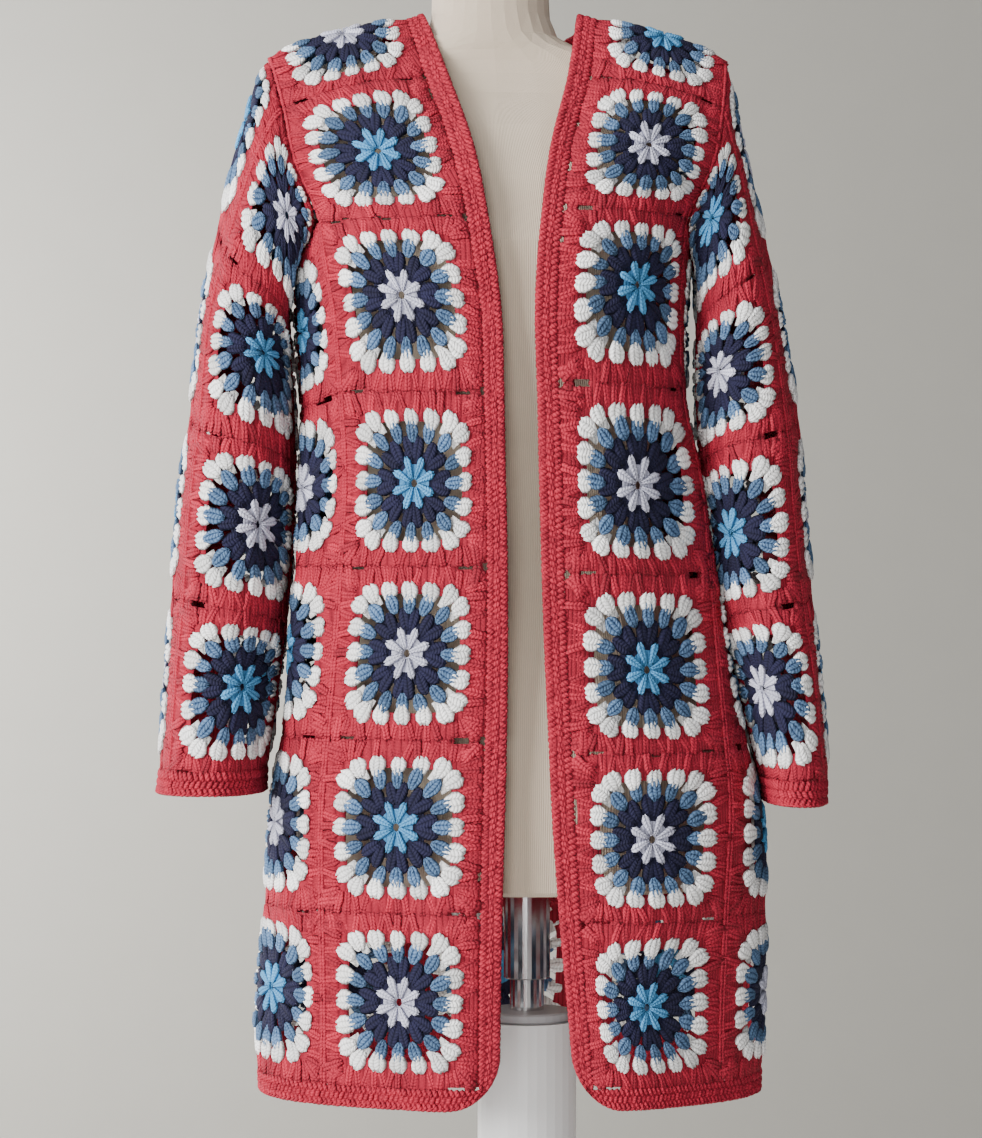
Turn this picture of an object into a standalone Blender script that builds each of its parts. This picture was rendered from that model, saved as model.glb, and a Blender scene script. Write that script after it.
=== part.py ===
"""Open-front coat of crochet squares, worn by a limbless dress form on a stand.

The coat is a grid of squares: seven columns round the body, one square folded over
each shoulder, three columns round each sleeve, and plain bands round every edge.
Every piece is a thin closed wall on a smooth surface: rings round the body below the
arms, strips over the shoulders above them, and rings down the sleeves.
Left and right are the viewer's, looking at the front, which faces -Y.  Metres, +Z up.
"""

import math
from collections import namedtuple

import bmesh
import bpy
import numpy as np

# ---------------------------------------------------------------- driving dimensions

SQUARE = 0.140            # pitch of the joined squares
FRONT_BAND = 0.0175       # width of the edging down each front
HEM_BAND = 0.0166         # depth of the edging along the hem
WALL = 0.003              # thickness of the crochet cloth
SEAM_GAP = 0.0003         # space between joined pieces
HEM_HEIGHT = 0.470        # hem above the floor
HEM_CORNER = 0.045        # radius of the rounded corner at the foot of each front
ARMHOLE_EASE = 0.0042     # the sleeve starts this far outside the armhole edge
NECK_EASE = 0.0008        # the neckband starts this far from the edge it is worked on
BODY_COLUMNS = 7          # columns of squares round the body
BODY_ROWS = 5             # rows of squares below the armhole
SLEEVE_COLUMNS, SLEEVE_ROWS = 3, 4

# Lines of the wall's mesh within a square, as distances from its centre.  The small
# cells between the last two lines are the open gaps at the motif's four corners.
GAP_INNER, GAP_OUTER = 0.032, 0.042
GAP_LINES = (-GAP_OUTER, -GAP_INNER, 0.0, GAP_INNER, GAP_OUTER)
LINES = tuple([0.0] + [0.5 + line / SQUARE for line in GAP_LINES] + [1.0])

# Body sections, one row for each height above the hem (x from the sleeves' middle).  The
# seams are those between the fronts and the columns under the arms, as bearings.
Section = namedtuple(
    "Section",
    "height centre half_width front back left_edge right_edge squareness left_seam right_seam")
SECTIONS = (
    Section(-0.03, 0.0170, 0.2080, 0.1290, 0.1250, 0.0084, 0.0730, 2.25, 57.9, 295.3),
    Section(0.070, 0.0175, 0.2120, 0.1300, 0.1240, 0.0084, 0.0640, 2.25, 57.3, 296.3),
    Section(0.160, 0.0215, 0.2090, 0.1310, 0.1220, 0.0100, 0.0560, 2.30, 58.9, 296.5),
    Section(0.240, 0.0225, 0.2065, 0.1320, 0.1190, 0.0122, 0.0505, 2.30, 59.2, 295.4),
    Section(0.300, 0.0200, 0.1950, 0.1330, 0.1160, 0.0136, 0.0478, 2.35, 57.5, 294.8),
    Section(0.370, 0.0155, 0.1820, 0.1350, 0.1110, 0.0145, 0.0445, 2.45, 54.5, 293.7),
    Section(0.440, 0.0130, 0.1715, 0.1370, 0.1050, 0.0142, 0.0422, 2.55, 52.3, 292.7),
    Section(0.510, 0.0100, 0.1645, 0.1390, 0.1000, 0.0128, 0.0403, 2.65, 49.8, 290.8),
    Section(0.575, 0.0045, 0.1575, 0.1410, 0.0960, 0.0115, 0.0388, 2.75, 49.1, 291.5),
    Section(0.640, 0.0020, 0.1600, 0.1430, 0.0950, 0.0095, 0.0370, 2.80, 49.6, 293.0),
    Section(0.7166, 0.0035, 0.1640, 0.1400, 0.0960, -0.0010, 0.0420, 2.90, 55.3, 293.4),
    Section(0.790, 0.0050, 0.1650, 0.1050, 0.0900, -0.0140, 0.0560, 2.90, 63.6, 285.4),
)

# Soft vertical folds: bearing from the front centre towards the left, in degrees,
# half width in degrees, height of the ridge (minus for a trough), where it is
# deepest above the hem, and how far it runs up and down from there.
Fold = namedtuple("Fold", "bearing spread depth middle reach")
FOLDS = (
    Fold(22, 14, 0.0080, 0.02, 0.22),
    Fold(68, 9, 0.0100, 0.42, 0.17),
    Fold(84, 8, -0.0120, 0.44, 0.16),
    Fold(103, 9, 0.0110, 0.56, 0.24),
    Fold(121, 8, -0.0120, 0.54, 0.26),
    Fold(138, 8, 0.0100, 0.52, 0.30),
    Fold(157, 9, -0.0110, 0.50, 0.24),
    Fold(176, 9, 0.0090, 0.50, 0.32),
    Fold(196, 9, -0.0110, 0.52, 0.24),
    Fold(216, 8, 0.0100, 0.54, 0.30),
    Fold(236, 8, -0.0120, 0.52, 0.26),
    Fold(254, 9, 0.0110, 0.55, 0.24),
    Fold(274, 8, -0.0120, 0.44, 0.16),
    Fold(290, 9, 0.0090, 0.42, 0.17),
    Fold(322, 14, 0.0090, 0.02, 0.24),
    Fold(150, 12, 0.0060, 0.05, 0.16),
    Fold(208, 12, 0.0060, 0.05, 0.16),
)

# Strips over the shoulders.  step counts squares from the top of the front's lower
# rows (0) over the ridge (1.5) to the back (3).  The first point is on the seam
# nearest the neck, the second on the armhole, and edge is the neckband's free edge.
Strip = namedtuple(
    "Strip", "step inner_x inner_y inner_h outer_x outer_y outer_h edge_x edge_y edge_h crown")
LEFT_STRIP = (
    Strip(0.5, -0.0324, -0.1064, 0.782, -0.160, -0.0780, 0.768, -0.0130, -0.1130, 0.778, 0.013),
    Strip(1.0, -0.0521, -0.0560, 0.841, -0.171, -0.0520, 0.816, -0.0335, -0.0600, 0.842, 0.010),
    Strip(1.5, -0.0700, -0.0080, 0.897, -0.186, -0.0080, 0.865, -0.0550, -0.0080, 0.901, 0.006),
    Strip(2.0, -0.0710, 0.0390, 0.857, -0.178, 0.0340, 0.817, -0.0520, 0.0360, 0.877, 0.009),
    Strip(2.5, -0.0610, 0.0740, 0.790, -0.168, 0.0480, 0.767, -0.0520, 0.0500, 0.800, 0.012),
)
RIGHT_STRIP = (
    Strip(0.5, 0.0675, -0.1064, 0.782, 0.184, -0.0780, 0.768, 0.0500, -0.1130, 0.778, 0.013),
    Strip(1.0, 0.0825, -0.0560, 0.841, 0.194, -0.0520, 0.816, 0.0650, -0.0600, 0.842, 0.010),
    Strip(1.5, 0.0905, -0.0080, 0.897, 0.199, -0.0080, 0.862, 0.0740, -0.0080, 0.901, 0.006),
    Strip(2.0, 0.0910, 0.0390, 0.857, 0.190, 0.0340, 0.817, 0.0720, 0.0360, 0.877, 0.009),
    Strip(2.5, 0.0850, 0.0740, 0.790, 0.184, 0.0480, 0.767, 0.0720, 0.0500, 0.800, 0.012),
)
BACK_NECK_CROWN = 0.012   # the top seam of the back bows out behind the neck
NECK_EDGE_CROWN = 0.009   # and the neckband's free edge bows this much
NECK_ROUNDING = 0.35      # how far the rounding of that edge reaches from its corners
SIDE_DIPS = ((0, 0.0), (3, 0.0), (4, 0.008), (5, 0.024))   # row line, drop in mid column

# Sleeve rings.  step counts squares from the armhole, tilt lifts the outer side, and
# the last ring is the free edge of the cuff.
Ring = namedtuple("Ring", "step x y height half_width half_depth tilt")
LEFT_RINGS = (
    Ring(1.5, -0.2035, -0.014, 0.609, 0.0375, 0.088, 0.030),
    Ring(2.0, -0.2070, -0.012, 0.541, 0.0425, 0.086, 0.022),
    Ring(2.5, -0.2130, -0.011, 0.472, 0.0465, 0.084, 0.017),
    Ring(3.0, -0.2180, -0.011, 0.403, 0.0460, 0.084, 0.012),
    Ring(3.5, -0.2240, -0.012, 0.341, 0.0455, 0.084, 0.006),
    Ring(4.0, -0.2310, -0.013, 0.269, 0.0430, 0.085, 0.000),
    Ring(4.25, -0.2330, -0.013, 0.250, 0.0440, 0.085, 0.000),
)
RIGHT_RINGS = (
    Ring(1.5, 0.2100, -0.014, 0.609, 0.0350, 0.089, 0.030),
    Ring(2.0, 0.2175, -0.012, 0.541, 0.0390, 0.088, 0.022),
    Ring(2.5, 0.2240, -0.011, 0.472, 0.0380, 0.088, 0.017),
    Ring(3.0, 0.2320, -0.011, 0.403, 0.0360, 0.090, 0.012),
    Ring(3.5, 0.2430, -0.012, 0.338, 0.0320, 0.093, 0.006),
    Ring(4.0, 0.2535, -0.013, 0.262, 0.0260, 0.096, 0.000),
    Ring(4.25, 0.2550, -0.013, 0.242, 0.0240, 0.096, 0.000),
)
SLEEVE_SQUARENESS = 2.3
# The underarm seam runs this far behind each sleeve's innermost line.
UNDERARM_TURN = {"left": -0.006, "right": 0.002}
# How the top of each sleeve leaves the shoulder, out and down, and how strongly it
# then hangs.
Cap = namedtuple("Cap", "reach fall")
CAPS = {"left": Cap((0.038, 0.030), 0.190), "right": Cap((0.016, 0.140), 0.120)}
CAP_SPREAD = 0.068        # it also spreads this much to the front and back
UNDERARM = Cap((0.050, 0.000), 0.120)

# The dress form, one row for each height above the coat's hem.
Torso = namedtuple("Torso", "height centre half_width front back")
TORSO = (
    Torso(0.1686, 0.0290, 0.160, 0.1050, 0.1000),
    Torso(0.1720, 0.0290, 0.164, 0.1080, 0.1030),
    Torso(0.2500, 0.0270, 0.171, 0.1120, 0.1060),
    Torso(0.3300, 0.0220, 0.166, 0.1090, 0.1000),
    Torso(0.4200, 0.0160, 0.136, 0.1010, 0.0850),
    Torso(0.4700, 0.0140, 0.126, 0.1000, 0.0790),
    Torso(0.5500, 0.0120, 0.131, 0.1120, 0.0790),
    Torso(0.6300, 0.0100, 0.141, 0.1250, 0.0800),
    Torso(0.7000, 0.0090, 0.146, 0.1260, 0.0800),
    Torso(0.7550, 0.0080, 0.150, 0.1060, 0.0760),
    Torso(0.8000, 0.0070, 0.156, 0.0790, 0.0640),
    Torso(0.8300, 0.0060, 0.156, 0.0520, 0.0420),
    Torso(0.8480, 0.0055, 0.146, 0.0420, 0.0300),
    Torso(0.8590, 0.0050, 0.128, 0.0390, 0.0270),
    Torso(0.8680, 0.0045, 0.096, 0.0400, 0.0280),
    Torso(0.8740, 0.0035, 0.072, 0.0420, 0.0300),
    Torso(0.8830, 0.0020, 0.056, 0.0440, 0.0340),
    Torso(0.9000, 0.0010, 0.050, 0.0460, 0.0400),
    Torso(0.9700, 0.0000, 0.0475, 0.0470, 0.0440),
)
TORSO_SIDES = 28
NECK_CAP = 0.010          # thickness of the cap on the neck
NECK_CAP_LIP = 0.002      # it stands this far out past the neck

# The stand: radius, lowest and highest point of each turned piece above the floor.
STAND_X = 0.0315
STAND_SIDES = 32
Turned = namedtuple("Turned", "name radius low high rounding")
STAND = (
    Turned("base", 0.190, 0.000, 0.018, 0.006),
    Turned("column", 0.0415, 0.018, 0.526, 0.0),
    Turned("column_rim", 0.0385, 0.526, 0.5345, 0.0015),
    Turned("stand_pole", 0.0144, 0.5345, 0.5610, 0.0),
    Turned("stand_tube", 0.0195, 0.5610, HEM_HEIGHT + TORSO[0].height - SEAM_GAP, 0.0008),
)

Finish = namedtuple("Finish", "colour roughness metallic")
RED_YARN = Finish((0.56, 0.045, 0.055), 0.85, 0.0)
SQUARE_YARN = Finish((0.42, 0.20, 0.24), 0.85, 0.0)
JERSEY = Finish((0.78, 0.70, 0.57), 0.75, 0.0)
CHROME = Finish((0.75, 0.75, 0.77), 0.12, 1.0)
WHITE_PAINT = Finish((0.86, 0.86, 0.86), 0.35, 0.0)
GREY_PLASTIC = Finish((0.55, 0.55, 0.56), 0.45, 0.0)

SIDES = {"left": (LEFT_STRIP, LEFT_RINGS, -1.0), "right": (RIGHT_STRIP, RIGHT_RINGS, 1.0)}
ROUND = 2.0 * FRONT_BAND + BODY_COLUMNS * SQUARE
RING_SAMPLES = 720
ARMHOLE_SAMPLES = 24      # points along the armhole for each column of the sleeve
ARMHOLE_SMOOTHING = 6     # passes that round off its corners
PROBE = 1e-3              # step used to find a surface's direction
HALF_GAP = 0.5 * SEAM_GAP / SQUARE
TOP_ROW = BODY_ROWS + 1   # row line at the top of the fronts and the back
LOWEST = -0.1             # the surfaces also reach this far below the first row

# Curves that are asked for again and again, kept by their key.
RING_CACHE, STRIP_CACHE, PROFILE_CACHE, SLEEVE_CACHE = {}, {}, {}, {}


# ---------------------------------------------------------------- small helpers

def smooth(rows, key, column, at):
    """Value of a table's column at a place along its key, on a smooth curve."""
    keys = np.array([getattr(row, key) for row in rows])
    values = np.array([getattr(row, column) for row in rows])
    slopes = np.gradient(values, keys)
    at = float(np.clip(at, keys[0], keys[-1]))
    index = int(np.clip(np.searchsorted(keys, at) - 1, 0, len(keys) - 2))
    span = keys[index + 1] - keys[index]
    part = (at - keys[index]) / span
    return hermite(values[index], slopes[index] * span,
                   values[index + 1], slopes[index + 1] * span, part)


def hermite(start, start_slope, end, end_slope, part):
    """Point on the cubic between two ends with the given slopes."""
    square, cube = part * part, part ** 3
    return ((2 * cube - 3 * square + 1) * start + (cube - 2 * square + part) * start_slope
            + (3 * square - 2 * cube) * end + (cube - square) * end_slope)


def along(points, fractions):
    """Points at the given fractions of a polyline's length."""
    points = np.asarray(points)
    steps = np.linalg.norm(np.diff(points, axis=0), axis=1)
    length = np.concatenate(([0.0], np.cumsum(steps)))
    wanted = np.asarray(fractions) * length[-1]
    return np.stack([np.interp(wanted, length, points[:, axis]) for axis in range(3)], -1)


def unit(vector):
    """The vector at length one."""
    return vector / np.linalg.norm(vector)


# ---------------------------------------------------------------- the body's rings

def ring_radius(bearing, height):
    """Distance of the body's ring from its centre at a bearing, folds included."""
    half_width = smooth(SECTIONS, "height", "half_width", height)
    front = smooth(SECTIONS, "height", "front", height)
    back = smooth(SECTIONS, "height", "back", height)
    power = smooth(SECTIONS, "height", "squareness", height)
    depth = np.where(np.cos(bearing) > 0.0, front, back)
    radius = (np.abs(np.sin(bearing) / half_width) ** power
              + np.abs(np.cos(bearing) / depth) ** power) ** (-1.0 / power)
    for fold in FOLDS:
        turn = np.degrees(bearing) - fold.bearing
        turn = (turn + 180.0) % 360.0 - 180.0
        fade = math.exp(-((height - fold.middle) / fold.reach) ** 2)
        radius = radius + fold.depth * fade * np.exp(-(turn / fold.spread) ** 2)
    return radius


def ring_curve(height):
    """The body's ring from the left front edge round the back to the right one.

    Returns its points, their distances along it, and those of its ends and its two
    front seams.
    """
    key = round(height, 7)
    if key not in RING_CACHE:
        centre = smooth(SECTIONS, "height", "centre", height)
        near_front = np.radians(np.linspace(-60.0, 60.0, 241))
        front_x = centre - ring_radius(near_front, height) * np.sin(near_front)
        edges = [smooth(SECTIONS, "height", name, height) for name in ("left_edge", "right_edge")]
        start, end = np.interp(edges, front_x[::-1], near_front[::-1])
        bearing = np.linspace(start, end + 2.0 * math.pi, RING_SAMPLES)
        radius = ring_radius(bearing, height)
        points = np.stack([centre - radius * np.sin(bearing), -radius * np.cos(bearing),
                           np.full_like(bearing, HEM_HEIGHT + height)], -1)
        steps = np.linalg.norm(np.diff(points, axis=0), axis=1)
        length = np.concatenate(([0.0], np.cumsum(steps)))
        seams = [smooth(SECTIONS, "height", name, height) for name in ("left_seam", "right_seam")]
        seams = np.interp(np.radians(seams), bearing, length)
        RING_CACHE[key] = (points, length, (0.0, seams[0], seams[1], length[-1]))
    return RING_CACHE[key]


def body_point(place, height):
    """Point of the coat's body; place is the flat distance from the left front edge."""
    points, length, seams = ring_curve(height)
    wanted = np.interp(place, SEAM_PLACES, seams)
    return np.array([np.interp(wanted, length, points[:, axis]) for axis in range(3)])


def column_start(column):
    """Flat distance from the left front edge to the start of a column of squares."""
    return FRONT_BAND + column * SQUARE


def row_height(row):
    """Height above the hem of a row line, counted from the bottom."""
    return HEM_BAND + row * SQUARE


BUST = row_height(BODY_ROWS)      # where the rings end and the strips begin
SEAM_PLACES = (0.0, column_start(1), column_start(BODY_COLUMNS - 1), ROUND)


# ---------------------------------------------------------------- over the shoulders

def strip_anchor(side, step, name):
    """Point of a shoulder strip's table, or of the body's ring beyond its ends."""
    table = SIDES[side][0]
    mirrored = side == "right"
    if 0.0 < step < 3.0:
        for row in table:
            if row.step == step:
                return np.array([getattr(row, name + "_x"), getattr(row, name + "_y"),
                                 HEM_HEIGHT + getattr(row, name + "_h")])
    if step <= 0.0:
        place = {"edge": 0.0, "inner": FRONT_BAND, "outer": column_start(1)}[name]
        height = BUST + step * SQUARE
    else:
        place = {"inner": column_start(3), "outer": column_start(2)}[name]
        height = BUST - (step - 3.0) * SQUARE
    return body_point(ROUND - place if mirrored else place, height)


def strip_line(side, name, step):
    """Point on one of a shoulder strip's long lines, smooth through its anchors."""
    key = (side, name)
    if key not in STRIP_CACHE:
        last = 2.5 if name == "edge" else 3.5
        steps = np.arange(-0.5, last + 0.25, 0.5)
        anchors = np.array([strip_anchor(side, at, name) for at in steps])
        STRIP_CACHE[key] = (steps, anchors, np.gradient(anchors, steps, axis=0))
    steps, anchors, slopes = STRIP_CACHE[key]
    index = int(np.clip(np.searchsorted(steps, step) - 1, 0, len(steps) - 2))
    span = steps[index + 1] - steps[index]
    return hermite(anchors[index], slopes[index] * span, anchors[index + 1],
                   slopes[index + 1] * span, (step - steps[index]) / span)


def ring_profile(side, front):
    """A column's ring at the top of the lower rows, as run and rise over its chord."""
    first = column_start(0) if front else column_start(2)
    places = first + SQUARE * np.linspace(0.0, 1.0, 33)
    if side == "right":
        places = ROUND - places
    points = np.array([body_point(place, BUST) for place in places])
    if not front:
        points = points[::-1]
    chord = points[-1] - points[0]
    run = (points - points[0]) @ chord / (chord @ chord)
    rise = (points - points[0]) @ strip_outward(side, np.array([0.0, 0.0, 1.0 if front else -1.0]),
                                                chord)
    return run, rise


def strip_outward(side, lengthwise, over):
    """Unit vector out of the coat, square to a strip's length and to its width."""
    return unit(np.cross(lengthwise, over)) * (1.0 if side == "left" else -1.0)


def strip_point(side, across, step):
    """Point of a shoulder strip; across runs from the neck seam to the armhole."""
    inner = strip_line(side, "inner", step)
    outer = strip_line(side, "outer", step)
    table = SIDES[side][0]
    blend = min(step, 3.0 - step, 1.0)
    blend = blend * blend * (3.0 - 2.0 * blend)
    key = (side, step < 1.5)
    if key not in PROFILE_CACHE:
        PROFILE_CACHE[key] = ring_profile(*key)
    run, rise = PROFILE_CACHE[key]
    places = np.linspace(0.0, 1.0, len(run))
    ring_run = np.interp(across, places, run)
    ring_rise = np.interp(across, places, rise)
    crown = smooth(table, "step", "crown", step) * 4.0 * across * (1.0 - across)
    run_here = ring_run + (across - ring_run) * blend
    rise_here = ring_rise + (crown - ring_rise) * blend
    ahead = strip_line(side, "inner", step + PROBE) + strip_line(side, "outer", step + PROBE)
    behind = strip_line(side, "inner", step - PROBE) + strip_line(side, "outer", step - PROBE)
    upright = np.array([0.0, 0.0, 1.0 if step < 1.5 else -1.0])
    lengthwise = upright + (unit(ahead - behind) - upright) * blend
    outward = strip_outward(side, lengthwise, outer - inner)
    return inner + (outer - inner) * run_here + outward * rise_here


# ---------------------------------------------------------------- the coat's surfaces

def side_drop(across, row):
    """How far a side column's row line sags between its seams."""
    rows, drops = zip(*SIDE_DIPS)
    return np.interp(row, rows, drops) * 4.0 * across * (1.0 - across)


def side_column(column):
    """Surface of the column under an arm, whose top dips to the underarm."""
    def surface(across, row):
        height = row_height(row) - side_drop(across, row)
        return body_point(column_start(column) + across * SQUARE, height)
    return surface


def front_column(side):
    """Surface of a front: rings below the arms, then up the shoulder strip."""
    def surface(across, row):
        if row <= BODY_ROWS:
            place = FRONT_BAND + across * SQUARE
            return body_point(ROUND - place if side == "right" else place, row_height(row))
        return strip_point(side, across, row - BODY_ROWS)
    return surface


def back_column(side):
    """Surface of the back's left or right column, across from its inner seam."""
    def surface(across, row):
        if row <= BODY_ROWS:
            place = column_start(3) - across * SQUARE
            return body_point(ROUND - place if side == "right" else place, row_height(row))
        return strip_point(side, across, 3.0 - (row - BODY_ROWS))
    return surface


def back_centre(across, row):
    """Surface of the back's middle column, between the two inner seams."""
    if row <= BODY_ROWS:
        return body_point(column_start(3) + across * SQUARE, row_height(row))
    part = row - BODY_ROWS
    left = strip_line("left", "inner", 3.0 - part)
    right = strip_line("right", "inner", 3.0 - part)
    places = column_start(3) + SQUARE * np.array([0.0, across, 1.0])
    low_left, low, low_right = [body_point(place, BUST) for place in places]
    bow = low - (low_left + (low_right - low_left) * across)
    crown = BACK_NECK_CROWN * 4.0 * across * (1.0 - across)
    bow = bow * (1.0 - part) + np.array([0.0, crown, 0.0]) * part
    return left + (right - left) * across + bow


def front_band(side):
    """Surface of a front edging; across runs from the free edge to the seam."""
    def surface(across, row):
        if row <= BODY_ROWS:
            cut = hem_corner_inset(row_height(row))
            place = cut + across * (FRONT_BAND - cut)
            return body_point(ROUND - place if side == "right" else place, row_height(row))
        edge = strip_line(side, "edge", row - BODY_ROWS)
        inner = strip_line(side, "inner", row - BODY_ROWS)
        return edge + (inner - edge) * across
    return surface


def hem_corner_inset(height):
    """How far the rounded foot of a front stands back from the straight edge."""
    below = HEM_CORNER - height
    if below <= 0.0:
        return 0.0
    return HEM_CORNER - math.sqrt(max(HEM_CORNER ** 2 - below ** 2, 0.0))


def hem_foot(place):
    """Height of the hem's free edge at a flat distance from the nearer front edge."""
    if place >= HEM_CORNER:
        return 0.0
    return HEM_CORNER - math.sqrt(HEM_CORNER ** 2 - (HEM_CORNER - place) ** 2)


def hem_band(across, part):
    """Surface of the hem's edging; across runs round the hem, part runs up."""
    inset = hem_corner_inset(HEM_BAND) + SEAM_GAP
    place = inset + across * (ROUND - 2.0 * inset)
    foot = hem_foot(min(place, ROUND - place))
    return body_point(place, foot + part * (HEM_BAND - foot))


def neck_seam(place):
    """Edge that the neckband is worked on; place counts 0 to 3 from ridge to ridge."""
    if 1.0 < place < 2.0:
        return back_centre(place - 1.0, TOP_ROW)
    side = "left" if place <= 1.0 else "right"
    return strip_line(side, "inner", 1.5 + 0.5 * min(place, 3.0 - place))


def neck_edge(place):
    """Free edge of the neckband before its two corners are rounded off."""
    if not 1.0 < place < 2.0:
        side = "left" if place <= 1.0 else "right"
        return strip_line(side, "edge", 1.5 + 0.5 * min(place, 3.0 - place))
    across = place - 1.0
    left, right = strip_line("left", "edge", 2.0), strip_line("right", "edge", 2.0)
    bow = np.array([0.0, NECK_EDGE_CROWN * 4.0 * across * (1.0 - across), 0.0])
    return left + (right - left) * across + bow


def neck_band(across, row):
    """Surface of the neckband, from ridge to ridge behind the neck."""
    place = across * 3.0
    window = NECK_ROUNDING * min(1.0, 2.0 * place, 2.0 * (3.0 - place))
    edge = (neck_edge(place - window) + neck_edge(place) + neck_edge(place + window)) / 3.0
    seam = neck_seam(place)
    return seam + (edge - seam) * row


# ---------------------------------------------------------------- the sleeves

def armhole_ring(side):
    """The sleeve's edge at the armhole, from the underarm round by the front.

    The armhole's own edge has corners, which the sleeve's edge rounds off a little.
    """
    columns = (1, 2) if side == "left" else (6, 5)
    first = column_start(columns[0])
    if side == "right":
        first = ROUND - column_start(1)
    sign = 1.0 if side == "left" else -1.0

    def underarm(across):
        height = row_height(BODY_ROWS) - side_drop(across, BODY_ROWS)
        return body_point(first + sign * across * SQUARE, height)

    front = [underarm(across) for across in np.linspace(0.5, 0.0, 7)]
    front += [strip_line(side, "outer", step) for step in np.linspace(0.0, 1.0, 13)[1:]]
    over = [strip_line(side, "outer", step) for step in np.linspace(1.0, 2.0, 13)]
    back = [strip_line(side, "outer", step) for step in np.linspace(2.0, 3.0, 13)]
    back += [underarm(across) for across in np.linspace(1.0, 0.5, 7)[1:]]
    fractions = np.arange(ARMHOLE_SAMPLES) / ARMHOLE_SAMPLES
    ring = np.concatenate([along(curve, fractions) for curve in (front, over, back)])
    for unused in range(ARMHOLE_SMOOTHING):
        ring = 0.25 * np.roll(ring, 1, axis=0) + 0.5 * ring + 0.25 * np.roll(ring, -1, axis=0)
    return ring


def armhole_point(side, turn):
    """Point on the armhole; turn runs 0 to 1 from the underarm round by the front."""
    ring = ARMHOLES[side]
    place = (turn % 1.0) * len(ring)
    index = int(place)
    before, here, after, beyond = [ring[(index + offset) % len(ring)] for offset in (-1, 0, 1, 2)]
    return hermite(here, 0.5 * (after - before), after, 0.5 * (beyond - here), place - index)


def sleeve_ring_point(side, turn, step):
    """Point on a hanging sleeve ring, measured along it from the underarm seam."""
    rings, sign = SIDES[side][1], SIDES[side][2]
    key = (side, round(step, 7))
    if key not in SLEEVE_CACHE:
        value = {name: smooth(rings, "step", name, step) for name in Ring._fields[1:]}
        angle = np.linspace(0.0, 2.0 * math.pi, 361)
        power = SLEEVE_SQUARENESS
        radius = (np.abs(np.cos(angle) / value["half_width"]) ** power
                  + np.abs(np.sin(angle) / value["half_depth"]) ** power) ** (-1.0 / power)
        points = np.stack([
            value["x"] - sign * radius * np.cos(angle),
            value["y"] - radius * np.sin(angle),
            HEM_HEIGHT + value["height"] - value["tilt"] * np.cos(angle)], -1)
        steps = np.linalg.norm(np.diff(points, axis=0), axis=1)
        SLEEVE_CACHE[key] = (points, np.concatenate(([0.0], np.cumsum(steps))))
    points, length = SLEEVE_CACHE[key]
    wanted = (turn * length[-1] - UNDERARM_TURN[side]) % length[-1]
    return np.array([np.interp(wanted, length, points[:, axis]) for axis in range(3)])


ARMHOLES = {side: armhole_ring(side) for side in SIDES}


def sleeve_point(side, turn, step):
    """Point of a sleeve; turn goes round it from the underarm, step down it."""
    rings, sign = SIDES[side][1], SIDES[side][2]
    hang = rings[0].step
    if step >= hang:
        return sleeve_ring_point(side, turn, step)
    end = sleeve_ring_point(side, turn, hang)
    top = 0.5 - 0.5 * math.cos(2.0 * math.pi * turn)
    cap = CAPS[side]
    reach = np.array(UNDERARM.reach) + top * (np.array(cap.reach) - np.array(UNDERARM.reach))
    fall = UNDERARM.fall + top * (cap.fall - UNDERARM.fall)
    leave = np.array([sign * reach[0], 0.0, -reach[1]])
    start = armhole_point(side, turn) + unit(leave) * ARMHOLE_EASE
    leave[1] = -CAP_SPREAD * math.sin(2.0 * math.pi * turn)
    below = sleeve_ring_point(side, turn, hang + PROBE) - end
    return hermite(start, leave, end, unit(below) * fall, step / hang)


def sleeve_column(side, column):
    """Surface of a sleeve's column; the row counts down from the armhole."""
    def surface(across, row):
        return sleeve_point(side, (column + across) / SLEEVE_COLUMNS, row)
    return surface


# ---------------------------------------------------------------- walls and solids

Panel = namedtuple("Panel", "surface outward low high")


def facing(panel, across, row):
    """Unit normal of a panel's surface, pointing out of the coat."""
    left, right = max(across - PROBE, 0.0), min(across + PROBE, 1.0)
    down, up = max(row - PROBE, panel.low), min(row + PROBE, panel.high)
    along_row = panel.surface(right, row) - panel.surface(left, row)
    up_column = panel.surface(across, up) - panel.surface(across, down)
    return unit(np.cross(along_row, up_column)) * panel.outward


def wall_points(panel, across_lines, row_lines, joined):
    """Grids of a wall's outer and inner points; joined names the panels beside it.

    A panel and its neighbour share the direction of their edges at a seam, so the
    seam's two faces stay parallel.
    """
    outer, inner = [], []
    for row in row_lines:
        middle = np.array([panel.surface(across, row) for across in across_lines])
        normal = np.array([facing(panel, across, row) for across in across_lines])
        for end, beside in zip((0, -1), joined):
            if beside is not None:
                other, other_across = beside
                normal[end] = unit(normal[end] + facing(other, other_across, row))
        outer.append(middle + normal * WALL / 2.0)
        inner.append(middle - normal * WALL / 2.0)
    return np.array(outer), np.array(inner)


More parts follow.
